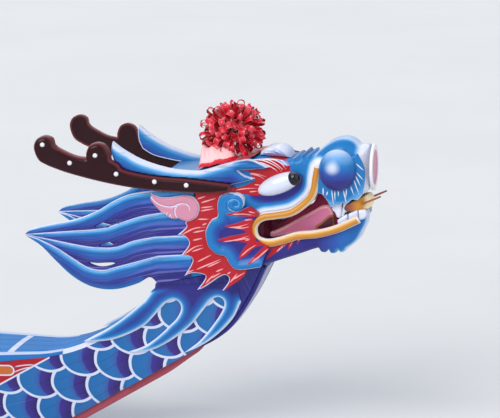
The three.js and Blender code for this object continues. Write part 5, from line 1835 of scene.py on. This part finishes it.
def deck_paint():
    """Sky-blue boards, darker in the grooves, with a white stripe across and a white line at the sides."""
    material, graph, shader = new_material("deck_paint")
    vector, x, y, _ = graph.place()
    shade = worn_sky(graph, vector)
    seam = ((y / DECK_BOARD).fraction() - 0.5).absolute().step(0.03, 0.012)
    shade = graph.mix(seam * 0.55, shade, "violet")
    stripe = (x.absolute() - 4.43).absolute().step(0.018, 0.016)
    line = graph.attribute("rim").step(0.008, 0.005)
    shade = graph.mix(stripe.high(line), shade, "pale")
    enamel_finish(graph, shader, shade, chips=0.5, rough=0.55, coat=0.0, shine=0.15)
    return material


def post_paint():
    material, graph, shader = new_material("post_paint")
    vector, _, y, z = graph.place()
    cloud = graph.noise(vector, 8.0, 3.0)
    pale = graph.mix(cloud, "b4b7d2", "9398ba")
    foot = (z + (cloud - 0.5) * 0.06).step(0.62, 0.50)
    shade = graph.mix(foot, pale, "94506a")
    side = y.absolute() - (z - 0.487) * 0.12 - 0.031
    shade = graph.mix(side.step(0.0, 0.003), shade, "violet")
    enamel_finish(graph, shader, shade, rough=0.5, chips=0.5, coat=0.05)
    return material


def post_keel_ring(x):
    """The rising end of the keel, which thins away towards the post and has a round end."""
    far = abs(x)
    top = keel_z(x) + KEEL_DEPTH - GAP
    depth = (KEEL_DEPTH - GAP) * (1 - 0.45 * ease(far, 5.20, 5.38))
    depth *= math.sqrt(max(0.06, 1 - (max(far - 5.355, 0) / 0.042) ** 2))
    half = KEEL_HALF * (1 - 0.25 * ease(far, 5.30, 5.395))
    low, soft = top - depth, min(0.006, 0.4 * depth)
    side = [(half, top), (half, low + soft), (half - soft, low)]
    return np.array([(-y, z) for y, z in side] + side[::-1])


def post_half(x, z):
    return side_half(np.minimum(np.abs(x), 5.725), z) - 0.006


def raise_posts():
    """The rising end of the keel and the pale board along the neck above it, and the same at the stern."""
    enamel = plain_enamel("keel_end_enamel", "keel", rough=0.55, chips=0.6, coat=0.05)
    facing = post_paint()
    stations = np.r_[np.linspace(4.28015, 5.34, 40), np.linspace(5.345, 5.395, 12)]
    line = curve(FACING)
    grow = np.clip((line[:, 1] - line[0, 1]) / 0.10, 0, 1)[:, None] * 0.7 + 0.3
    border = np.vstack([line + (0.00036, -0.00024), (line + grow * (0.0164, -0.0114))[::-1]])
    for node, end in (("stem", 1), ("sternpost", -1)):
        keel = loft(f"{node}_keel", np.sort(stations * end), post_keel_ring, enamel, 50.0)
        settle(keel, "boat", "keel_paint", node)
        face = Face(border * (end, 1), spacing=0.008, rings=(0.002, 0.005))
        carve_block(f"{node}_facing", face, post_half, 0.006, facing, "white_paint", node)


def fit_inside():
    set_material(timber("thwart_timber", "timber", along="Y"), "thwarts", "oar_beam")
    set_material(timber("floor_timber", "timber"), "floorboards")
    dark = timber("frame_timber", "dark_timber", along="Y")
    set_material(dark, "floor_timbers", "side_frames_starboard", "side_frames_port", "drum_stand")


def carve_tail():
    face = Face(outline(*TAIL_FIN), spacing=0.009, rings=(0.003, 0.008, 0.016, 0.028))
    free = face.away(outline(*TAIL_FIN[1:])[:-6])
    fields = {"edge": free, "fade": free / 0.16, "stroke": face.strokes(TAIL_STROKES, 0.006)}
    stops = ((0.0, "pale"), (0.05, "light"), (0.2, "azure"), (0.5, "blue"), (0.9, "violet"))
    paint = carving_paint("tail_paint", stops, stroke="lavender", lines=60, width=0.005)
    carve_block("tail_fin", face, TAIL_HALF, 0.032, paint, "azure_paint", "tail_fin", **fields)
    face = Face(outline(*TAIL_FLAME), spacing=0.007, rings=(0.003, 0.008, 0.016))
    free = face.away(outline(*TAIL_FLAME[1:])[:-6])
    fields = {"edge": free, "fade": free / 0.10}
    height = 0.036 * rounded(face.edge, 0.022, 0.3)
    flame = carving_paint("tail_flame_paint", stops, lines=90, width=0.005)
    carve_sides("tail_flame", face, height, flame, "azure_paint", surface=TAIL_HALF, **fields)


def drum_paint():
    """Red lacquer with a cream line at each end of the shell, and pale hide over the ends."""
    material, graph, shader = new_material("drum_paint")
    vector, x, y, z = graph.place()
    east = x - DRUM_AT[0]
    radius = (east * east + y * y).power(0.5)
    middle = (z - DRUM_AT[1] - DRUM_HEIGHT / 2).absolute()
    hide = middle.step(0.128, 0.130).high(radius.step(0.202, 0.200))
    line = (middle - 0.112).absolute().step(0.006, 0.004)
    cloud = graph.noise(vector, 6.0, 4.0, 0.6)
    shade = graph.mix(cloud.step(0.35, 0.7), "red", "8e0f1e")
    shade = graph.mix(line * (1.0 - hide), shade, "gold")
    skin = graph.mix(cloud.step(0.3, 0.7), "e0cfa8", "b99a66")
    skin = graph.mix(radius.step(0.10, 0.02) * 0.4, skin, "8f7448")
    enamel_finish(graph, shader, graph.mix(hide, shade, skin), rough=0.4, coat=0.1)
    return material


def make_drum():
    radius, belly, height, rim = 0.225, 0.250, DRUM_HEIGHT, 0.030
    t = np.linspace(0, 1, 15)
    bulge = radius + (belly - radius) * (1 - (2 * t - 1) ** 2)
    shell = [(r, rim + (height - 2 * rim) * share) for r, share in zip(bulge, t)]
    low = [(0, 0.004), (0.10, 0.003), (0.19, 0.0), (0.205, 0.0015), (0.216, 0.010), (0.2225, 0.022)]
    high = [(r, height - z) for r, z in reversed(low)]
    at = np.array([DRUM_AT[0], 0.0, DRUM_AT[1] + GAP])
    drum = turned("drum_shell", low + shell + high, 72, lambda p: p + at, drum_paint())
    settle(drum, "boat", "red_paint", "drum")
    places = []
    for row, z in enumerate((0.036, 0.050, height - 0.050, height - 0.036)):
        for i in range(40):
            angle = (i + 0.5 * (row % 2)) * math.pi / 20
            out = radius + (belly - radius) * (1 - (2 * (z - rim) / (height - 2 * rim) - 1) ** 2) - 0.0005
            facing = (math.cos(angle), math.sin(angle), 0)
            places.append(((DRUM_AT[0] + out * facing[0], out * facing[1], DRUM_AT[1] + z), facing))
    brass = plain_enamel("tack_brass", "gold", "cream", coat=0.4)
    studs("drum_tacks", places, 0.0062, 0.0035, brass, "gold_paint")


def oar_place(local):
    """From the oar's own frame, x along the shaft and z across the blade, to its place at rest."""
    lean = math.radians(OAR_SLOPE)
    x = local[:, 0] * math.cos(lean) - local[:, 2] * math.sin(lean)
    z = local[:, 0] * math.sin(lean) + local[:, 2] * math.cos(lean)
    return np.c_[OAR_PIVOT[0] + x, OAR_PIVOT[1] + local[:, 1], OAR_PIVOT[2] + z]


def oar_section(x):
    along, wide, thick = np.array(OAR_BLADE).T
    angles = np.linspace(0, 2 * math.pi, 28, endpoint=False)
    return np.c_[np.interp(x, along, thick) * np.sin(angles), np.interp(x, along, wide) * np.cos(angles)]


def shape_oar():
    """A round shaft that flattens into a rounded blade, a cross handle, a bound collar and the tilt pin."""
    wood = timber("oar_timber", "timber", gloss=0.4)
    stations = np.unique(np.r_[np.linspace(-1.75, -1.69, 9), np.linspace(-1.69, -0.9, 22), 0.0, 0.6, 1.25])
    oar = loft("oar_shaft_and_blade", stations, oar_section, wood, 50.0, place=oar_place)
    settle(oar, "oar", "plain_wood", "steering_oar")
    grip = [(0.0145, 0.03), (0.016, 0.10), (0.0155, 0.126), (0.012, 0.13), (0, 0.13)]
    grip = [(radius, -z) for radius, z in reversed(grip)] + [(0.016, 0.0)] + grip
    handle = turned("oar_handle", grip, 24, lambda p: oar_place(p + (1.19, 0, 0)), wood)
    settle(handle, "oar", "plain_wood", "steering_oar")
    binding = [(0.0, -0.035), (0.0236, -0.035)]
    for turn in range(10):
        start = turn * 0.0068
        binding += [(0.0250, start - 0.0335), (0.0272, start - 0.0305), (0.0250, start - 0.0275)]
    binding += [(0.0236, 0.035), (0.0, 0.035)]
    cord = plain_enamel("collar_leather", "dark_timber", "timber", rough=0.6, coat=0.0)
    collar = turned("oar_collar", binding, 32, lambda p: oar_place(p[:, [2, 1, 0]]), cord)
    settle(collar, "oar", "dark_wood", "steering_oar")
    pin = [(0, -0.048), (0.0068, -0.048), (0.008, -0.0466), (0.008, 0.0466), (0.0068, 0.048), (0, 0.048)]
    trunnion = turned("oar_tilt_pin", pin, 24, lambda p: oar_place(p[:, [0, 2, 1]]), zinc())
    settle(trunnion, "oar", "galvanised_steel", "steering_oar")


def zinc():
    if "zinc" in bpy.data.materials:
        return bpy.data.materials["zinc"]
    steel, graph, shader = new_material("zinc")
    vector = graph.place()[0]
    spangle = graph.noise(vector, 60.0, 2.0)
    rust = graph.noise(vector, 21.0, 4.0, 0.7).step(0.60, 0.72)
    graph.fill(shader, {
        "Base Color": graph.mix(rust * 0.6, graph.mix(spangle, "8d9397", "c4c9cc"), "7a4a2c"),
        "Roughness": spangle * 0.25 + rust * 0.3 + 0.32,
        "Metallic": 1.0 - rust * 0.8,
    })
    return steel


def make_gear():
    make_drum()
    shape_oar()
    set_material(zinc(), "oar_crutch")


def lay_floor(scene):
    """The studio floor at the waterline, open inside the hull, because the boat floats."""
    reach = 60.0
    points = [(-reach, -reach, 0), (-reach, reach, 0), (reach, -reach, 0), (reach, reach, 0)]
    faces = []
    stations = np.linspace(-4.25, 4.25, 52)
    for x in stations:
        line = hull_section(x, 0.0)
        half = float(np.interp(0.0, line[:, 1], line[:, 0])) - PLANK / 2
        points += [(x, -reach, 0), (x, -half, 0), (x, half, 0), (x, reach, 0)]
    last = len(points) - 4
    for a in range(4, last, 4):
        faces += [(a, a + 4, a + 5, a + 1), (a + 2, a + 6, a + 7, a + 3)]
    faces += [(0, 4, 5, 6, 7, 1), (2, 3, last + 3, last + 2, last + 1, last)]
    mesh = bpy.data.meshes.new("floor")
    mesh.from_pydata(points, [], faces)
    floor = bpy.data.objects.new("floor", mesh)
    scene.collection.objects.link(floor)
    material, graph, shader = new_material("floor_paper")
    cloud = graph.noise(graph.place()[0], 0.6, 3.0)
    graph.fill(shader, {"Base Color": graph.mix(cloud, "d9d9da", "e2e2e2"), "Roughness": 0.8})
    mesh.materials.append(material)
    floor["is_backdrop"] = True


def set_stage():
    scene = bpy.context.scene
    scene.view_settings.view_transform = "Standard"
    azimuth, elevation = math.radians(AZIMUTH), math.radians(ELEVATION)
    level = math.cos(elevation)
    view = Vector((-math.sin(azimuth) * level, math.cos(azimuth) * level, -math.sin(elevation)))
    data = bpy.data.cameras.new("camera")
    data.lens = LENS
    data.sensor_width = 36.0
    data.clip_end = 200.0
    camera = bpy.data.objects.new("camera", data)
    camera.location = Vector(LOOK_AT) - view * DISTANCE
    camera.rotation_euler = view.to_track_quat("-Z", "Y").to_euler()
    scene.collection.objects.link(camera)
    scene.camera = camera

    lay_floor(scene)
    world = bpy.data.worlds.new("studio")
    scene.world = world
    world.use_nodes = True
    background = world.node_tree.nodes["Background"]
    background.inputs["Color"].default_value = (0.80, 0.86, 0.95, 1.0)
    background.inputs["Strength"].default_value = 0.55
    # Each lamp's name, place, target, spread in degrees, strength and colour
    lights = (
        ("key", (2.0, -9.0, 8.0), (5.6, 0.0, 1.0), 40.0, 2.1, (1.0, 0.97, 0.93)),
        ("fill", (13.0, -4.0, 5.0), (5.6, 0.0, 1.0), 60.0, 0.7, (0.85, 0.92, 1.0)),
        ("back", (0.0, 9.0, 9.0), (3.0, 0.0, 0.5), 60.0, 0.8, (0.95, 0.97, 1.0)),
    )
    for name, place, target, spread, power, shade in lights:
        lamp = bpy.data.lights.new(name, "SUN")
        lamp.angle = math.radians(spread)
        lamp.energy = power
        lamp.color = shade
        holder = bpy.data.objects.new(name, lamp)
        holder.location = place
        holder.rotation_euler = (Vector(target) - Vector(place)).to_track_quat("-Z", "Y").to_euler()
        scene.collection.objects.link(holder)


# Operators: one for each piece or group of like pieces, and one for the stage


class BOAT_OT_stage(bpy.types.Operator):
    """Sets the camera, the floor at the waterline and the studio lights"""

    bl_idname = "boat.stage"
    bl_label = "Stage"

    def execute(self, context):
        set_stage()
        return {"FINISHED"}


class BOAT_OT_hull(bpy.types.Operator):
    """Paints the planks, rails, decks, keel and posts"""

    bl_idname = "boat.hull"
    bl_label = "Hull"

    def execute(self, context):
        paint_hull()
        return {"FINISHED"}


class BOAT_OT_fittings(bpy.types.Operator):
    """Finishes the thwarts, floorboards and frames"""

    bl_idname = "boat.fittings"
    bl_label = "Inside of the hull"

    def execute(self, context):
        fit_inside()
        return {"FINISHED"}


class BOAT_OT_mane(bpy.types.Operator):
    """Carves the mane, the ruff and the ears"""

    bl_idname = "boat.mane"
    bl_label = "Mane, ruff and ears"

    def execute(self, context):
        carve_mane()
        carve_ruff()
        carve_ears()
        return {"FINISHED"}


class BOAT_OT_crown(bpy.types.Operator):
    """Carves the horns, the crests and the brow"""

    bl_idname = "boat.crown"
    bl_label = "Horns, crests and brow"

    def execute(self, context):
        carve_horns()
        carve_crests()
        carve_brow()
        return {"FINISHED"}


class BOAT_OT_face(bpy.types.Operator):
    """Carves the skull, the cheeks, the eyes, the nostrils and the nose"""

    bl_idname = "boat.face"
    bl_label = "Face"

    def execute(self, context):
        carve_skull()
        carve_cheeks()
        carve_eyes()
        carve_skirts()
        carve_nostrils()
        carve_nose()
        return {"FINISHED"}


class BOAT_OT_mouth(bpy.types.Operator):
    """Carves the lips, the jaw, the tongue and the teeth"""

    bl_idname = "boat.mouth"
    bl_label = "Mouth"

    def execute(self, context):
        carve_lips()
        carve_jaw()
        carve_mouth()
        return {"FINISHED"}


class BOAT_OT_plume(bpy.types.Operator):
    """Carves the claws that hold the neck on each side"""

    bl_idname = "boat.plume"
    bl_label = "Neck plume"

    def execute(self, context):
        carve_plumes()
        return {"FINISHED"}


class BOAT_OT_ribbon(bpy.types.Operator):
    """Ties the sash and the rosette"""

    bl_idname = "boat.ribbon"
    bl_label = "Ribbon"

    def execute(self, context):
        tie_sash()
        tie_rosette()
        return {"FINISHED"}


class BOAT_OT_stern(bpy.types.Operator):
    """Carves the tail"""

    bl_idname = "boat.stern"
    bl_label = "Tail"

    def execute(self, context):
        carve_tail()
        return {"FINISHED"}


class BOAT_OT_gear(bpy.types.Operator):
    """Finishes the drum, the steering oar and its crutch"""

    bl_idname = "boat.gear"
    bl_label = "Drum and oar"

    def execute(self, context):
        make_gear()
        return {"FINISHED"}


STEPS = (
    BOAT_OT_stage,
    BOAT_OT_hull,
    BOAT_OT_fittings,
    BOAT_OT_plume,
    BOAT_OT_mane,
    BOAT_OT_face,
    BOAT_OT_mouth,
    BOAT_OT_crown,
    BOAT_OT_ribbon,
    BOAT_OT_stern,
    BOAT_OT_gear,
)


class BOAT_PT_panel(bpy.types.Panel):
    """Lists the sizes, the colours and the pieces of the boat"""

    bl_idname = "BOAT_PT_panel"
    bl_label = "Dragon Boat"
    bl_space_type = "VIEW_3D"
    bl_region_type = "UI"
    bl_category = "Dragon Boat"

    def draw(self, context):
        layout = self.layout
        for group in (context.scene.boat_sizes, context.scene.boat_paints):
            box = layout.box()
            for key in group.__annotations__:
                box.prop(group, key)
        for step in STEPS:
            layout.operator(step.bl_idname)


CLASSES = (BoatPaints, BoatSizes, *STEPS, BOAT_PT_panel)


def register():
    for made in CLASSES:
        bpy.utils.register_class(made)
    bpy.types.Scene.boat_paints = PointerProperty(type=BoatPaints)
    bpy.types.Scene.boat_sizes = PointerProperty(type=BoatSizes)


def unregister():
    del bpy.types.Scene.boat_sizes
    del bpy.types.Scene.boat_paints
    for made in reversed(CLASSES):
        bpy.utils.unregister_class(made)


def write_size():
    def plain(box):
        return [[float(value) for value in corner] for corner in box]

    {"cad": plain(CAD_BOX), "visual": plain(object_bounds())}


def main():
    register()
    make_groups()
    for step in STEPS:
        family, name = step.bl_idname.split(".")
        getattr(getattr(bpy.ops, family), name)()
    write_size()


if __name__ == "__main__":
    main()
